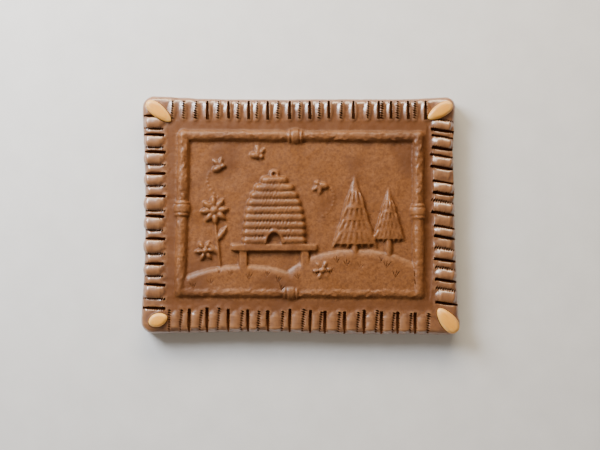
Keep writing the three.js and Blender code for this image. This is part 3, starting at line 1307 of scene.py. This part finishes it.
@dataclass
class Daisy:
    """A flower with pointed petals round a domed heart.

    petal is half a petal's length and width, and heart half the heart's width, as shares of the
    flower's radius.
    """

    middle: Place
    radius: float
    petals: int
    raised: float = 0.0
    petal: Pair = (0.44, 0.23)
    petal_rise: float = 2.6
    heart: float = 0.32
    heart_rise: float = 3.4
    start: float = 6.0
    tilt: float = -4.0

    def build(self, floor: float) -> Piece:
        """Make the flower on the picture's ground.

        Args:
            floor: the ground's height.

        Returns:
            Its petals and heart, joined.
        """
        x, y = self.middle
        ground = floor + 0.4 + self.raised
        tilt = Matrix.Rotation(math.radians(self.tilt), 4, "Y")
        long, wide, domed = (self.radius * share for share in (*self.petal, self.heart))
        petals = []
        for i in range(self.petals):
            turn = 360 * i / self.petals + self.start
            rise = self.petal_rise + 0.4 * wobble(x + i)
            spot = point_from(self.middle, turn, self.radius * 0.6)
            petals.append(at(*spot, ground, turn) @ tilt @ sized(long, wide, rise))
        heart = at(x, y, ground) @ sized(domed, domed, self.heart_rise)
        return joined(
            [stamped(leaf("petal", 0.75), petals, "petals"), stamped(ball("heart"), [heart], "heart")],
            "daisy",
        )


@dataclass
class Stalk:
    """A flower's stalk, with a leaf on each side."""

    start: Place
    end: Place
    leaf_length: float
    leaf_spread: float = 40.0
    leaf_size: Pair = (2.4, 2.2)
    stem: Pair = (1.25, 1.9)

    def build(self, floor: float) -> Piece:
        """Make the stalk on the picture's ground.

        Args:
            floor: the ground's height.

        Returns:
            Its stem and leaves, joined.
        """
        run = Vector(self.end) - Vector(self.start)
        turn = math.degrees(math.atan2(run.y, run.x))
        places = []
        for hand in (-1, 1):
            root = Vector(self.start) + run * (0.56 + 0.12 * hand)
            leaf_turn = turn + 180 + self.leaf_spread * hand
            spot = point_from((root.x, root.y), leaf_turn, self.leaf_length / 2)
            size = sized(self.leaf_length * 0.56, *self.leaf_size)
            places.append(at(*spot, floor, leaf_turn) @ size)
        middle = (Vector(self.start) + Vector(self.end)) / 2
        stem = at(middle.x, middle.y, floor, turn) @ sized(run.length / 2 + 1, *self.stem)
        return joined(
            [stamped(leaf("leaf"), places, "leaves"), stamped(ball("stem"), [stem], "stem")], "stalk"
        )


@dataclass
class Bee:
    """A bee that flies with both wings raised, with the dots of its way behind it.

    body, head, dot and the wings are half sizes. trail is how much the way turns from dot to dot,
    in degrees, and a bee without one has no dots.
    """

    middle: Place
    turn: float
    trail: float = 0.0
    dots: int = 9
    dot_pitch: float = 2.0
    body: Triple = (4.4, 2.7, 2.7)
    head: Triple = (2.1, 2.0, 2.4)
    dot: Triple = (0.75, 0.75, 0.8)
    stripe: float = 0.55
    stripe_pitch: float = 2.1
    back_wing: Triple = (4.1, 2.0, 1.9)
    front_wing: Triple = (3.6, 1.7, 1.9)

    def build(self, floor: float) -> Piece:
        """Make the bee on the picture's ground.

        Args:
            floor: the ground's height.

        Returns:
            Its body, wings and way, joined.
        """
        tail = point_from(self.middle, self.turn, -2)
        head = point_from(self.middle, self.turn, 3)
        back = point_from(self.middle, self.turn, -0.6, 4)
        front = point_from(self.middle, self.turn, 2.6, 3.8)
        rounds = [
            at(*tail, floor, self.turn) @ sized(*self.body),
            at(*head, floor, self.turn) @ sized(*self.head),
        ]
        for k in range(3):
            stripe = point_from(self.middle, self.turn, -4.2 + self.stripe_pitch * k)
            wide = 2.75 * math.sqrt(1 - ((2.2 - self.stripe_pitch * k) / self.body[0]) ** 2)
            size = sized(self.stripe, wide + 0.1, wide + 0.35)
            rounds.append(at(*stripe, floor, self.turn) @ size)
        for k in range(self.dots if self.trail else 0):
            angle = self.turn + 180 + self.trail * k
            spot = point_from(self.middle, angle, 8.5 + self.dot_pitch * k)
            rounds.append(at(*spot, floor) @ sized(*self.dot))
        wings = [
            at(*back, floor, self.turn + 112) @ sized(*self.back_wing),
            at(*front, floor, self.turn + 62) @ sized(*self.front_wing),
        ]
        return joined(
            [stamped(ball("body"), rounds, "body"), stamped(leaf("wing", 0.8), wings, "wings")], "bee"
        )


@dataclass
class Hill:
    """The top of an ellipse, with a rounded crest and tufts of grass."""

    middle: Place
    half_length: float
    half_width: float
    turn: float
    tufts: int
    rise: float = 2.4

    def build(self, floor: float) -> Piece:
        """Make the hill on the picture's ground.

        Args:
            floor: the ground's height.

        Returns:
            The hill, cut flat on top.
        """
        dome = at(*self.middle, floor, self.turn) @ sized(
            self.half_length, self.half_width, self.rise * 2.2
        )
        hill = stamped(ball("hill", 64, 32), [dome], "hill")
        cut_away(hill, (0, 0, floor + self.rise), (0, 0, -1))
        return hill

    def grass(self, floor: float) -> list[Matrix]:
        """Return the places of the blades of grass that are engraved in the hill's face.

        Args:
            floor: the ground's height.

        Returns:
            One place for each blade, for a leaf of unit half length.
        """
        places = []
        for i in range(self.tufts):
            seed = self.middle[0] + i * 1.7
            angle = 160 - 140 * (i + 0.5 + 0.25 * wobble(seed)) / self.tufts
            c, s = math.cos(math.radians(angle)), math.sin(math.radians(angle))
            share = 0.80 - 0.09 * (i % 3) + 0.03 * wobble(seed + 0.4)
            aside, up = self.half_length * c * share, self.half_width * s * share
            root = point_from(self.middle, self.turn, aside, up)
            for lean in (-30, -4, 24):
                turn = 90 + lean - 12 * c + 5 * wobble(seed + lean)
                long = 3.2 + 0.7 * wobble(seed + lean * 0.1)
                spot = point_from(root, turn, long)
                places.append(at(*spot, floor + self.rise, turn) @ sized(long, 0.5, 0.7))
        return places


@dataclass
class MouldedPicture:
    """The moulded picture: a skep on a bench with bees, flowers and fir trees.

    Its motifs reach into the slab by as much as they are rooted.
    """

    slab: DoughSlab
    rods: RodFrame
    rooted: float = 3.0
    tray_height: float = 10.0

    def hills(self) -> tuple[Hill, ...]:
        """Return the two hills that the picture stands on."""
        return (Hill((-50, -68), 62, 30, 4, 9), Hill((46, -66), 66, 40, -3, 11))

    def build(self) -> Piece:
        """Make all motifs, cut off at the rods.

        Returns:
            The motifs, joined.
        """
        motifs = [
            *self.hills(),
            Skep(),
            Bench(),
            Fir((42, -22), 18, 62),
            Fir((68, -18), 13, 46),
            Daisy((-66, 4), 10.5, 8),
            Stalk((-66, 0), (-61, -44), 13),
            Daisy((-73, -27), 7.6, 6),
            Daisy((17, -42), 8, 6, 0.8),
            Bee((-62, 37), 24, 9.0),
            Bee((-33, 46), -12),
            Bee((16, 24), 158, -8.0),
        ]
        parts = []
        for motif in motifs:
            parts.append(motif.build(self.slab.picture_floor))
        return self._cropped(joined(parts, "picture"))

    def grass(self) -> Piece:
        """Return the blades of grass on the hills, as cutters."""
        blades = [place for hill in self.hills() for place in hill.grass(self.slab.picture_floor)]
        return stamped(leaf("blade"), blades, "grass")

    def _cropped(self, picture: Piece) -> Piece:
        """Cut off what reaches past the rods' middles or too deep into the slab.

        Args:
            picture: the motifs, joined.

        Returns:
            The same piece.
        """
        rods = self.rods
        planes = (
            ((rods.left, 0, 0), (1, 0, 0)),
            ((rods.right, 0, 0), (-1, 0, 0)),
            ((0, rods.bottom, 0), (0, 1, 0)),
            ((0, rods.top, 0), (0, -1, 0)),
            ((0, 0, self.slab.picture_floor - self.rooted), (0, 0, 1)),
        )
        for point, inwards in planes:
            cut_away(picture, point, inwards)
        return picture

    def recess(self) -> Piece:
        """Make the shallow tray under the picture.

        Returns:
            The tray, as a cutter.
        """
        rods, tall = self.rods, self.tray_height
        bpy.ops.mesh.primitive_cube_add(size=1)
        tray = fresh("tray")
        height = self.slab.picture_floor + tall / 2
        middle = at((rods.left + rods.right) / 2, (rods.bottom + rods.top) / 2, height)
        tray.data.transform(middle @ sized(rods.right - rods.left, rods.top - rods.bottom, tall))
        return tray


# The almonds


@dataclass
class Almond:
    """A blanched almond that lies half sunk in the dough, broad end outwards.

    Above crown, as a share of half its thickness, its top is flattened to the share flat_top.
    """

    name: str
    middle: Place
    length: float
    width: float
    turn: float
    lift: float
    flatness: float = 0.66
    crown: float = 0.72
    flat_top: float = 0.35
    broad: float = 0.74
    blunt: float = 0.5

    def shape(self, name: str, grown: float, height: float, steps: int) -> Piece:
        """Return the almond's form, drawn from a ball to a drop.

        Args:
            name: the piece's name.
            grown: how much larger than the almond it is, in millimetres.
            height: the height of the dough's top.
            steps: how many rings it has from end to end.

        Returns:
            The form in its place.
        """
        bpy.ops.mesh.primitive_uv_sphere_add(segments=32, ring_count=steps, radius=1)
        drop_form = fresh(name)
        drop_form.data.transform(Matrix.Rotation(math.pi / 2, 4, "Y"))
        rings = sorted({round(v.co.x, 4) for v in drop_form.data.vertices})
        half = self.width / 2 + grown
        for x in rings[1:-1]:
            t = (x + 1) / 2
            swell = math.sin(math.pi * (1 - t) ** self.broad) ** self.blunt
            factor = swell / math.sqrt(1 - x * x)
            scale_points(
                drop_form, lambda p, x=x: abs(p.x * MM - x) < 1e-3, (1, factor, factor), (x, 0, 0)
            )
        mark_points(drop_form, lambda p: p.z * MM > self.crown)
        for vertex in drop_form.data.vertices:
            if vertex.select:
                vertex.co.z = self.crown + (vertex.co.z - self.crown) * self.flat_top
        place = at(*self.middle, height + self.lift, self.turn)
        drop_form.data.transform(place @ sized(self.length / 2 + grown, half, half * self.flatness))
        return drop_form


# Finishes


class Graph:
    """A material's nodes, added and linked by name."""

    def __init__(self, name: str) -> None:
        """Start an empty material with its shader and output.

        Args:
            name: the material's name.
        """
        self.material = bpy.data.materials.new(name)
        self.material.use_nodes = True
        self.nodes = self.material.node_tree.nodes
        self.links = self.material.node_tree.links
        self.nodes.clear()
        self.shader = self.nodes.new("ShaderNodeBsdfPrincipled")
        output = self.nodes.new("ShaderNodeOutputMaterial")
        self.links.new(self.shader.outputs[0], output.inputs["Surface"])
        coords = self.nodes.new("ShaderNodeTexCoord")
        self.place = coords.outputs["Object"]

    def link(self, source: Socket, target: Socket) -> None:
        """Connect one socket to another."""
        self.links.new(source, target)

    def noise(
        self, scale: float, detail: float = 4.0, rough: float = 0.55, distort: float = 0.0
    ) -> Socket:
        """Return a cloudy pattern on the piece's own coordinates.

        Args:
            scale: how many clouds to the metre.
            detail: how many finer layers it has.
            rough: how strong the finer layers are.
            distort: how far it is swirled.

        Returns:
            The pattern's value.
        """
        node = self.nodes.new("ShaderNodeTexNoise")
        node.inputs["Scale"].default_value = scale
        node.inputs["Detail"].default_value = detail
        node.inputs["Roughness"].default_value = rough
        node.inputs["Distortion"].default_value = distort
        self.link(self.place, node.inputs["Vector"])
        return node.outputs[0]

    def ramp(self, source: Socket, stops: tuple[tuple[float, Triple], ...]) -> Socket:
        """Return colours for a pattern.

        Args:
            source: the pattern.
            stops: its values and their colours, from low to high.

        Returns:
            The colour.
        """
        node = self.nodes.new("ShaderNodeValToRGB")
        elements = node.color_ramp.elements
        while len(elements) < len(stops):
            elements.new(0.5)
        for element, (position, colour) in zip(elements, stops):
            element.position = position
            element.color = (*colour, 1.0)
        self.link(source, node.inputs[0])
        return node.outputs[0]

    def between(self, source: Socket, low: float, high: float, start: float, end: float) -> Socket:
        """Spread a pattern's values, smoothly.

        Args:
            source: the pattern.
            low: its lowest value that counts.
            high: its highest.
            start: what low becomes.
            end: what high becomes.

        Returns:
            The new value.
        """
        node = self.nodes.new("ShaderNodeMapRange")
        node.interpolation_type = "SMOOTHSTEP"
        for name, value in zip(("From Min", "From Max", "To Min", "To Max"), (low, high, start, end)):
            node.inputs[name].default_value = value
        self.link(source, node.inputs["Value"])
        return node.outputs[0]

    def mixed(self, share: Socket, a: Triple | Socket, b: Triple | Socket) -> Socket:
        """Return one colour mixed with another.

        Args:
            share: how much of b there is.
            a: a colour, or a socket that gives one.
            b: a colour, or a socket that gives one.

        Returns:
            The mixed colour.
        """
        node = self.nodes.new("ShaderNodeMix")
        node.data_type = "RGBA"
        self.link(share, node.inputs["Factor"])
        for value, target in ((a, node.inputs[6]), (b, node.inputs[7])):
            if isinstance(value, Socket):
                self.link(value, target)
            else:
                target.default_value = (*value, 1.0)
        return node.outputs[2]

    def bumped(self, source: Socket, depth: float, below: Socket | None = None) -> Socket:
        """Return a surface raised by a pattern.

        Args:
            source: the pattern.
            depth: how high it stands, in millimetres.
            below: a surface that it is laid over.

        Returns:
            The surface's normal.
        """
        node = self.nodes.new("ShaderNodeBump")
        node.inputs["Strength"].default_value = 1.0
        node.inputs["Distance"].default_value = depth * MM
        self.link(source, node.inputs["Height"])
        if below is not None:
            self.link(below, node.inputs["Normal"])
        return node.outputs[0]

    def outside(self, half_x: float, half_y: float, fade: float) -> Socket:
        """Return a pattern that is 0 inside a rectangle round the middle and 1 outside it.

        Args:
            half_x: half the rectangle's length, in millimetres.
            half_y: half its width.
            fade: how wide the step from 0 to 1 is.

        Returns:
            The pattern's value.
        """
        folded = self.nodes.new("ShaderNodeVectorMath")
        folded.operation = "ABSOLUTE"
        self.link(self.place, folded.inputs[0])
        apart = self.nodes.new("ShaderNodeSeparateXYZ")
        self.link(folded.outputs[0], apart.inputs[0])
        steps = [
            self.between(apart.outputs[axis], half * MM, (half + fade) * MM, 0.0, 1.0)
            for axis, half in enumerate((half_x, half_y))
        ]
        return self.math("MAXIMUM", *steps)

    def math(self, operation: str, a: Socket, b: Socket) -> Socket:
        """Work out an operation on two values.

        Args:
            operation: the kind of operation.
            a: the first value.
            b: the second value.

        Returns:
            The result.
        """
        node = self.nodes.new("ShaderNodeMath")
        node.operation = operation
        self.link(a, node.inputs[0])
        self.link(b, node.inputs[1])
        return node.outputs[0]

    def mapping(self, source: Socket, kind: str, **values: object) -> Socket:
        """Move, turn or stretch coordinates.

        Args:
            source: the coordinates.
            kind: the kind of mapping.
            **values: its values.

        Returns:
            The new coordinates.
        """
        node = self.nodes.new("ShaderNodeMapping")
        node.vector_type = kind
        for name, value in values.items():
            node.inputs[name].default_value = value
        self.link(source, node.inputs["Vector"])
        return node.outputs[0]

    def noted(self, name: str) -> Socket:
        """Read the values noted on the piece's points.

        Args:
            name: the name that they are noted under.

        Returns:
            The values.
        """
        node = self.nodes.new("ShaderNodeAttribute")
        node.attribute_name = name
        return node.outputs["Fac"]

    def set(self, **values: object) -> None:
        """Set the shader's own values, by socket name with _ for a space."""
        for name, value in values.items():
            self.shader.inputs[name.replace("_", " ")].default_value = value


@dataclass(frozen=True)
class DoughFinish:
    """Baked honey dough, mottled, with a fine dry grain, a glaze that is thicker on the border, and
    painted highlight and shade.
    """

    name: str = "honey dough"
    pale: Triple = (0.184, 0.0690, 0.0205)
    brown: Triple = (0.098, 0.0340, 0.0105)
    amber: Triple = (0.165, 0.0590, 0.0145)
    # pore is the darker colour of the small pits: painted shade in them.
    pore: Triple = (0.070, 0.021, 0.004)
    # crest is the paler colour of a painted highlight where the dough stands out, and hollow the
    # darker colour of painted shade where it is sunk.
    crest: Triple = (0.245, 0.102, 0.033)
    hollow: Triple = (0.075, 0.023, 0.005)
    roughness: float = 0.5
    # How far painted shade darkens the band between the rods and the pinches.
    valley_shade: float = 0.75
    # How far painted highlight pales the crests inside the border and on it.
    faint_crest_highlight: float = 0.25
    strong_crest_highlight: float = 0.85
    thin_glaze: float = 0.08
    thick_glaze: float = 1.0
    grain_depth: float = 0.07
    flake_depth: float = 0.18
    bark_depth: float = 0.25
    pore_depth: float = 0.2

    def material(self) -> Material:
        """Mix the colours, the gloss and the fine relief of the dough.

        Returns:
            The dough's material.
        """
        graph = Graph(self.name)
        clouds = graph.noise(34, 3, 0.5, 0.4)
        base = graph.ramp(clouds, ((0.32, self.brown), (0.52, self.pale), (0.72, self.amber)))
        specks = graph.between(graph.noise(430, 5, 0.75, 0.5), 0.38, 0.64, 0.0, 0.8)
        mottled = graph.mixed(specks, base, self.brown)
        # The pores are sunk by a bump below and painted darker, as painted shade in the small pits.
        pores = graph.between(graph.noise(1300, 1, 0.4), 0.68, 0.76, 0.0, 0.7)
        pitted = graph.mixed(pores, mottled, self.pore)
        # Painted shade: the band between the rods and the pinches, where the dough lies in a shallow
        # valley, is darkened towards brown.
        beyond_rods, border = graph.outside(95, 64, 3), graph.outside(100, 71, 4)
        valley = graph.math("SUBTRACT", beyond_rods, border)
        shaded = graph.between(valley, 0.0, 1.0, 0.0, self.valley_shade)
        ground = graph.mixed(shaded, pitted, self.brown)
        # Painted highlight and shade: what stands out of the smoothed skin is painted paler, most on
        # the border, and what is sunk is painted darker.
        crest_highlight_share = graph.between(border, 0.0, 1.0, self.faint_crest_highlight, self.strong_crest_highlight)
        crest = graph.math("MULTIPLY", crest_highlight_share, graph.between(graph.noted(CREST), 0.04, 0.40, 0.0, 1.0))
        hollow = graph.between(graph.noted(CREST), -0.40, -0.04, 0.65, 0.0)
        shading_skin = graph.mixed(hollow, graph.mixed(crest, ground, self.crest), self.hollow)
        graph.link(shading_skin, graph.shader.inputs["Base Color"])
        smooth, dull = self.roughness - 0.08, self.roughness + 0.1
        gloss = graph.between(graph.noise(60, 4, 0.6), 0.3, 0.7, smooth, dull)
        graph.link(gloss, graph.shader.inputs["Roughness"])
        flakes = graph.bumped(graph.noise(330, 5, 0.6, 0.3), self.flake_depth)
        rods = graph.math("SUBTRACT", graph.outside(84, 54, 3), beyond_rods)
        scales = graph.between(graph.noise(300, 3, 0.6), 0.2, 0.8, -0.5, 0.5)
        bark = graph.bumped(graph.math("MULTIPLY", rods, scales), self.bark_depth, flakes)
        grain = graph.bumped(graph.noise(1100, 4, 0.6), self.grain_depth, bark)
        graph.link(graph.bumped(pores, -self.pore_depth, grain), graph.shader.inputs["Normal"])
        glaze = graph.between(border, 0.0, 1.0, self.thin_glaze, self.thick_glaze)
        bare = graph.between(graph.noted(CREST), -0.15, -0.03, 0.3, 1.0)
        graph.link(graph.math("MULTIPLY", glaze, bare), graph.shader.inputs["Coat Weight"])
        graph.set(Specular_IOR_Level=0.3, Coat_Roughness=0.3, Coat_IOR=1.9)
        graph.set(Specular_Tint=(1.0, 0.9, 0.8, 1.0))
        return graph.material


@dataclass(frozen=True)
class CutShadeFinish:
    """The dough inside the tongs' cuts and the almonds' sockets, painted darker than the dough:
    painted shade in these recesses.
    """

    name: str = "shaded dough in the cuts"
    dark: Triple = (0.090, 0.029, 0.010)
    brown: Triple = (0.165, 0.055, 0.017)
    roughness: float = 0.8

    def material(self) -> Material:
        """Mix the colours and the fine relief of the cuts.

        Returns:
            The cuts' material.
        """
        graph = Graph(self.name)
        base = graph.ramp(graph.noise(500, 4, 0.6), ((0.35, self.dark), (0.7, self.brown)))
        graph.link(base, graph.shader.inputs["Base Color"])
        graph.link(graph.bumped(graph.noise(1200, 3), 0.15), graph.shader.inputs["Normal"])
        graph.set(Roughness=self.roughness, Specular_IOR_Level=0.2)
        return graph.material


@dataclass(frozen=True)
class AlmondFinish:
    """Blanched almond, lightly toasted, with faint veins along it, paler towards its outline as a
    painted highlight.
    """

    name: str = "blanched almond"
    ivory_and_rim_highlight: Triple = (0.765, 0.410, 0.105)
    golden: Triple = (0.680, 0.300, 0.035)
    toasted: Triple = (0.53, 0.220, 0.030)
    roughness: float = 0.4
    dough_top: float = 17.0
    vein_stretch: float = 0.12

    def material(self, almond: Almond) -> Material:
        """Return the material of one almond.

        Args:
            almond: the almond whose length the veins follow.

        Returns:
            Its material.
        """
        graph = Graph(f"{self.name} {almond.name}")
        round_form = self._round(graph, almond)
        turned = graph.mapping(graph.place, "TEXTURE", **self._lie(almond))
        graph.place = graph.mapping(turned, "POINT", Scale=(self.vein_stretch, 1, 1))
        veins = graph.noise(900, 3, 0.5, 0.3)
        patches = graph.noise(160, 3, 0.5)
        # Golden in the middle and ivory towards the outline: the middle is toasted, the pale rim is a
        # painted highlight.
        middle = graph.between(round_form, 0.05, 0.45, 0.0, 1.0)
        skin = graph.mixed(middle, self.ivory_and_rim_highlight, self.golden)
        base = graph.mixed(graph.between(patches, 0.45, 0.75, 0.0, 0.6), skin, self.toasted)
        colour = graph.mixed(graph.between(veins, 0.5, 0.7, 0.0, 0.35), base, self.toasted)
        graph.link(colour, graph.shader.inputs["Base Color"])
        graph.link(graph.bumped(veins, 0.12), graph.shader.inputs["Normal"])
        graph.set(
            Roughness=self.roughness,
            Specular_IOR_Level=0.5,
            Subsurface_Weight=0.15,
            Subsurface_Radius=(0.6, 0.3, 0.15),
            Subsurface_Scale=2 * MM,
        )
        return graph.material

    def _lie(self, almond: Almond) -> dict[str, object]:
        """Return where an almond lies and how it is turned, as values of a mapping."""
        spot = (Vector((*almond.middle, self.dough_top)) + SHIFT) * MM
        return {"Location": spot, "Rotation": (0, 0, math.radians(almond.turn))}

    def _round(self, graph: Graph, almond: Almond) -> Socket:
        """Make a pattern of the almond's outline, seen from above.

        Args:
            graph: the almond's nodes.
            almond: the almond.

        Returns:
            A value that is 0 at the outline and 1 at the middle.
        """
        half = (almond.length / 2 * MM, almond.width / 2 * MM, 1000)
        inside = graph.mapping(graph.place, "TEXTURE", **self._lie(almond), Scale=half)
        ball_form = graph.nodes.new("ShaderNodeTexGradient")
        ball_form.gradient_type = "SPHERICAL"
        graph.link(inside, ball_form.inputs["Vector"])
        return ball_form.outputs[0]


# The whole


@dataclass
class Gingerbread:
    """The whole piece: its moulded dough and its almonds.

    A grain is the finest step of the dough's skin when it is melted together. shading_smoothing is
    how often a copy of the skin is smoothed to tell its crests from its hollows, which the finish
    paints paler and darker, as painted highlight and painted shade.
    """

    slab: DoughSlab = field(default_factory=DoughSlab)
    coarse_grain: float = 0.5
    fine_grain: float = 0.42
    most_triangles: int = 150_000
    socket_gap: float = 0.6
    kernel_gap: float = 0.05
    socket_rings: int = 20
    kernel_rings: int = 26
    swelling: Triple = (12.0, 9.0, 3.4)
    swelling_sunk: float = 2.4
    foot_trim: float = 0.3
    table: Triple = (300.0, 250.0, 20.0)
    soft_angle: float = 48.0
    shading_smoothing: int = 24
    almonds: tuple[Almond, ...] = (
        Almond("almond_top_left", (-108.8, 80.1), 23.8, 10.5, 141, 0.8),
        Almond("almond_top_right", (107.5, 80.5), 21.8, 10.8, 32, 0.8),
        Almond("almond_bottom_right", (112.8, -80.3), 22.8, 12.4, -51, 0.6),
        Almond("almond_bottom_left", (-109, -80), 15, 10.6, 199, 0.6, broad=0.93),
    )

    def dough(self) -> Piece:
        """Mould the dough, soften it, pinch and cut it, and give it its finish.

        Returns:
            The dough as one closed piece.
        """
        border = CrimpedBorder(self.slab)
        rods = RodFrame(self.slab)
        picture = MouldedPicture(self.slab, rods)
        base = joined([self.slab.build(), self._swellings()], "base")
        softened(base, 0.8, 2)
        combined(base, picture.recess(), Blend.CARVE)
        parts = [base, border.ridges(), border.strips(), border.lips(), rods.build(), picture.build()]
        dough = joined(parts, "gingerbread_dough")
        softened(dough, self.coarse_grain, 3)
        LOG.info("dough: raised, %d faces", len(dough.data.polygons))
        combined(dough, joined([border.troughs(), border.valley(rods)], "hollows"), Blend.CARVE)
        softened(dough, self.fine_grain, 4)
        self._roughen(dough)
        self._trim_foot(dough)
        share = self.most_triangles / (2 * len(dough.data.polygons))
        applied(dough, "DECIMATE", ratio=min(1.0, share))
        LOG.info("dough: softened, %d faces", len(dough.data.polygons))
        dough.data.materials.clear()
        dough.data.materials.append(DoughFinish().material())
        # The cuts and the almonds' sockets get a darker material: painted shade in these recesses.
        cut_shade = CutShadeFinish().material()
        for almond in self.almonds:
            socket = almond.shape("socket", self.socket_gap, self.slab.height, self.socket_rings)
            socket.data.materials.append(cut_shade)
            combined(dough, socket, Blend.CARVE)
        for cutter in border.cuts(cut_shade):
            combined(dough, cutter, Blend.CARVE)
        blades = picture.grass()
        blades.data.materials.append(dough.data.materials[0])
        combined(dough, blades, Blend.CARVE)
        self._note_crests(dough)
        take(dough)
        bpy.ops.object.shade_smooth_by_angle(angle=math.radians(self.soft_angle))
        return dough

    def _swellings(self) -> Piece:
        """Make the swollen dough round each almond.

        Returns:
            All swellings.
        """
        z = self.slab.height - self.swelling_sunk
        places = [at(*a.middle, z, a.turn) @ sized(*self.swelling) for a in self.almonds]
        return stamped(ball("swelling", 32, 16), places, "swellings")

    def _trim_foot(self, dough: Piece) -> None:
        """Cut the dough's underside flat, where it lies on the table.

        Args:
            dough: the softened dough.
        """
        bpy.ops.mesh.primitive_cube_add(size=1)
        table = fresh("table")
        lie = at(0, 0, self.foot_trim - self.table[2] / 2)
        table.data.transform(lie @ sized(*self.table))
        combined(dough, table, Blend.CARVE)
        dough.data.transform(Matrix.Translation((0, 0, -self.foot_trim * MM)))

    def _roughen(self, dough: Piece) -> None:
        """Make the dough's skin a little uneven, in broad swells, ripples and small flakes.

        Args:
            dough: the softened dough.
        """
        layers = (("swell", 30.0, 0.5, 1), ("ripple", 9.0, 0.45, 1), ("flake", 3.0, 0.28, 3))
        for name, size, depth, levels in layers:
            texture = bpy.data.textures.new(name, "CLOUDS")
            texture.noise_scale = size * MM
            texture.noise_depth = levels
            applied(
                dough,
                "DISPLACE",
                texture=texture,
                texture_coords="LOCAL",
                strength=depth * MM,
                mid_level=0.5,
            )

    def _note_crests(self, dough: Piece) -> None:
        """Note how far each point stands out of a smoothed skin, in millimetres, for the finish.

        The finish paints what stands out paler, as painted highlight, and what is sunk darker, as
        painted shade.

        Args:
            dough: the finished dough.
        """
        take(dough)
        bpy.ops.object.duplicate()
        shading_skin = bpy.context.object
        applied(shading_skin, "SMOOTH", factor=0.5, iterations=self.shading_smoothing)
        note = dough.data.attributes.new(CREST, "FLOAT", "POINT")
        for spot, point, smooth in zip(note.data, dough.data.vertices, shading_skin.data.vertices):
            spot.value = (point.co - smooth.co).dot(point.normal) / MM
        drop(shading_skin)

    def kernel(self, almond: Almond) -> Piece:
        """Return one almond with its finish.

        Args:
            almond: which almond.

        Returns:
            The almond, named after its node.
        """
        name = f"blanched_{almond.name}"
        made = almond.shape(name, -self.kernel_gap, self.slab.height, self.kernel_rings)
        made.data.materials.append(AlmondFinish().material(almond))
        take(made)
        bpy.ops.object.shade_smooth()
        return made


# The studio


@dataclass
class Studio:
    """A pale floor, soft lights and the camera over the piece."""

    view_width: float = 460.8
    lens: float = 70.0
    aim: Place = (-0.2, -7.4)
    tilt: float = 1.5
    piece_top: float = 17.0
    floor_size: float = 6.0

    def build(self) -> None:
        """Set up the floor, the lights, the surroundings and the camera."""
        self._floor()
        self._light("lamp", (70, 910, 545), (880, 330), 17.6, (1.0, 0.83, 0.60))
        self._light("window", (-560, 500, 520), (440, 440), 22.0, (0.89, 0.93, 1.0))
        board = self._light("board", (80, -640, 560), (700, 300), 1.7, (1.0, 0.86, 0.72))
        board.visible_glossy = False
        world = bpy.data.worlds.new("room")
        world.use_nodes = True
        background = world.node_tree.nodes["Background"]
        background.inputs["Color"].default_value = (1.0, 0.9, 0.76, 1)
        background.inputs["Strength"].default_value = 0.17
        bpy.context.scene.world = world
        self._camera()

    def _floor(self) -> None:
        """Lay a plain pale floor under the piece."""
        bpy.ops.object.select_all(action="DESELECT")
        bpy.ops.mesh.primitive_plane_add(size=self.floor_size, location=(0, 0, 0))
        floor = fresh("floor")
        graph = Graph("pale floor")
        stops = ((0.3, (0.60, 0.59, 0.57)), (0.7, (0.64, 0.63, 0.61)))
        speckle = graph.ramp(graph.noise(40, 4), stops)
        graph.link(speckle, graph.shader.inputs["Base Color"])
        graph.set(Roughness=0.7)
        floor.data.materials.append(graph.material)

    def _light(self, name: str, place: Triple, size: Pair, power: float, colour: Triple) -> Piece:
        """Hang a soft lamp that faces the piece.

        Args:
            name: the lamp's name.
            place: where it hangs, in millimetres.
            size: its panel's width and height, in millimetres.
            power: its power in watts.
            colour: its light's colour.

        Returns:
            The lamp.
        """
        lamp = bpy.data.lights.new(name, "AREA")
        lamp.shape = "RECTANGLE"
        lamp.size, lamp.size_y = size[0] * MM, size[1] * MM
        lamp.energy = power
        lamp.color = colour
        hung = bpy.data.objects.new(name, lamp)
        bpy.context.scene.collection.objects.link(hung)
        hung.location = Vector(place) * MM
        hung.rotation_euler = (-hung.location).to_track_quat("-Z", "Y").to_euler()
        return hung

    def _camera(self) -> None:
        """Place the camera so that the piece fills the picture as in the photograph."""
        data = bpy.data.cameras.new("camera")
        data.lens = self.lens
        data.clip_start, data.clip_end = 0.05, 10
        camera = bpy.data.objects.new("camera", data)
        bpy.context.scene.collection.objects.link(camera)
        distance = self.view_width * self.lens / data.sensor_width
        target = Vector((*self.aim, self.piece_top))
        slope = math.radians(self.tilt)
        away = Vector((0, -math.sin(slope), math.cos(slope)))
        camera.location = (target + away * distance) * MM
        camera.rotation_euler = (slope, 0, 0)
        bpy.context.scene.camera = camera


def main() -> None:
    """Load the solids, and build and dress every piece."""
    logging.basicConfig(level=logging.INFO, format="%(name)s %(message)s")
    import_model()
    bpy.ops.object.select_all(action="DESELECT")
    Studio().build()
    gingerbread = Gingerbread()
    dough = gingerbread.dough()
    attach(dough, "root")
    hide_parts("gingerbread")
    LOG.info("%s: %d faces", dough.name, len(dough.data.polygons))
    for almond in gingerbread.almonds:
        kernel = gingerbread.kernel(almond)
        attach(kernel, "root")
        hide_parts(almond.name)
        LOG.info("%s: %d faces", kernel.name, len(kernel.data.polygons))


if __name__ == "__main__":
    main()
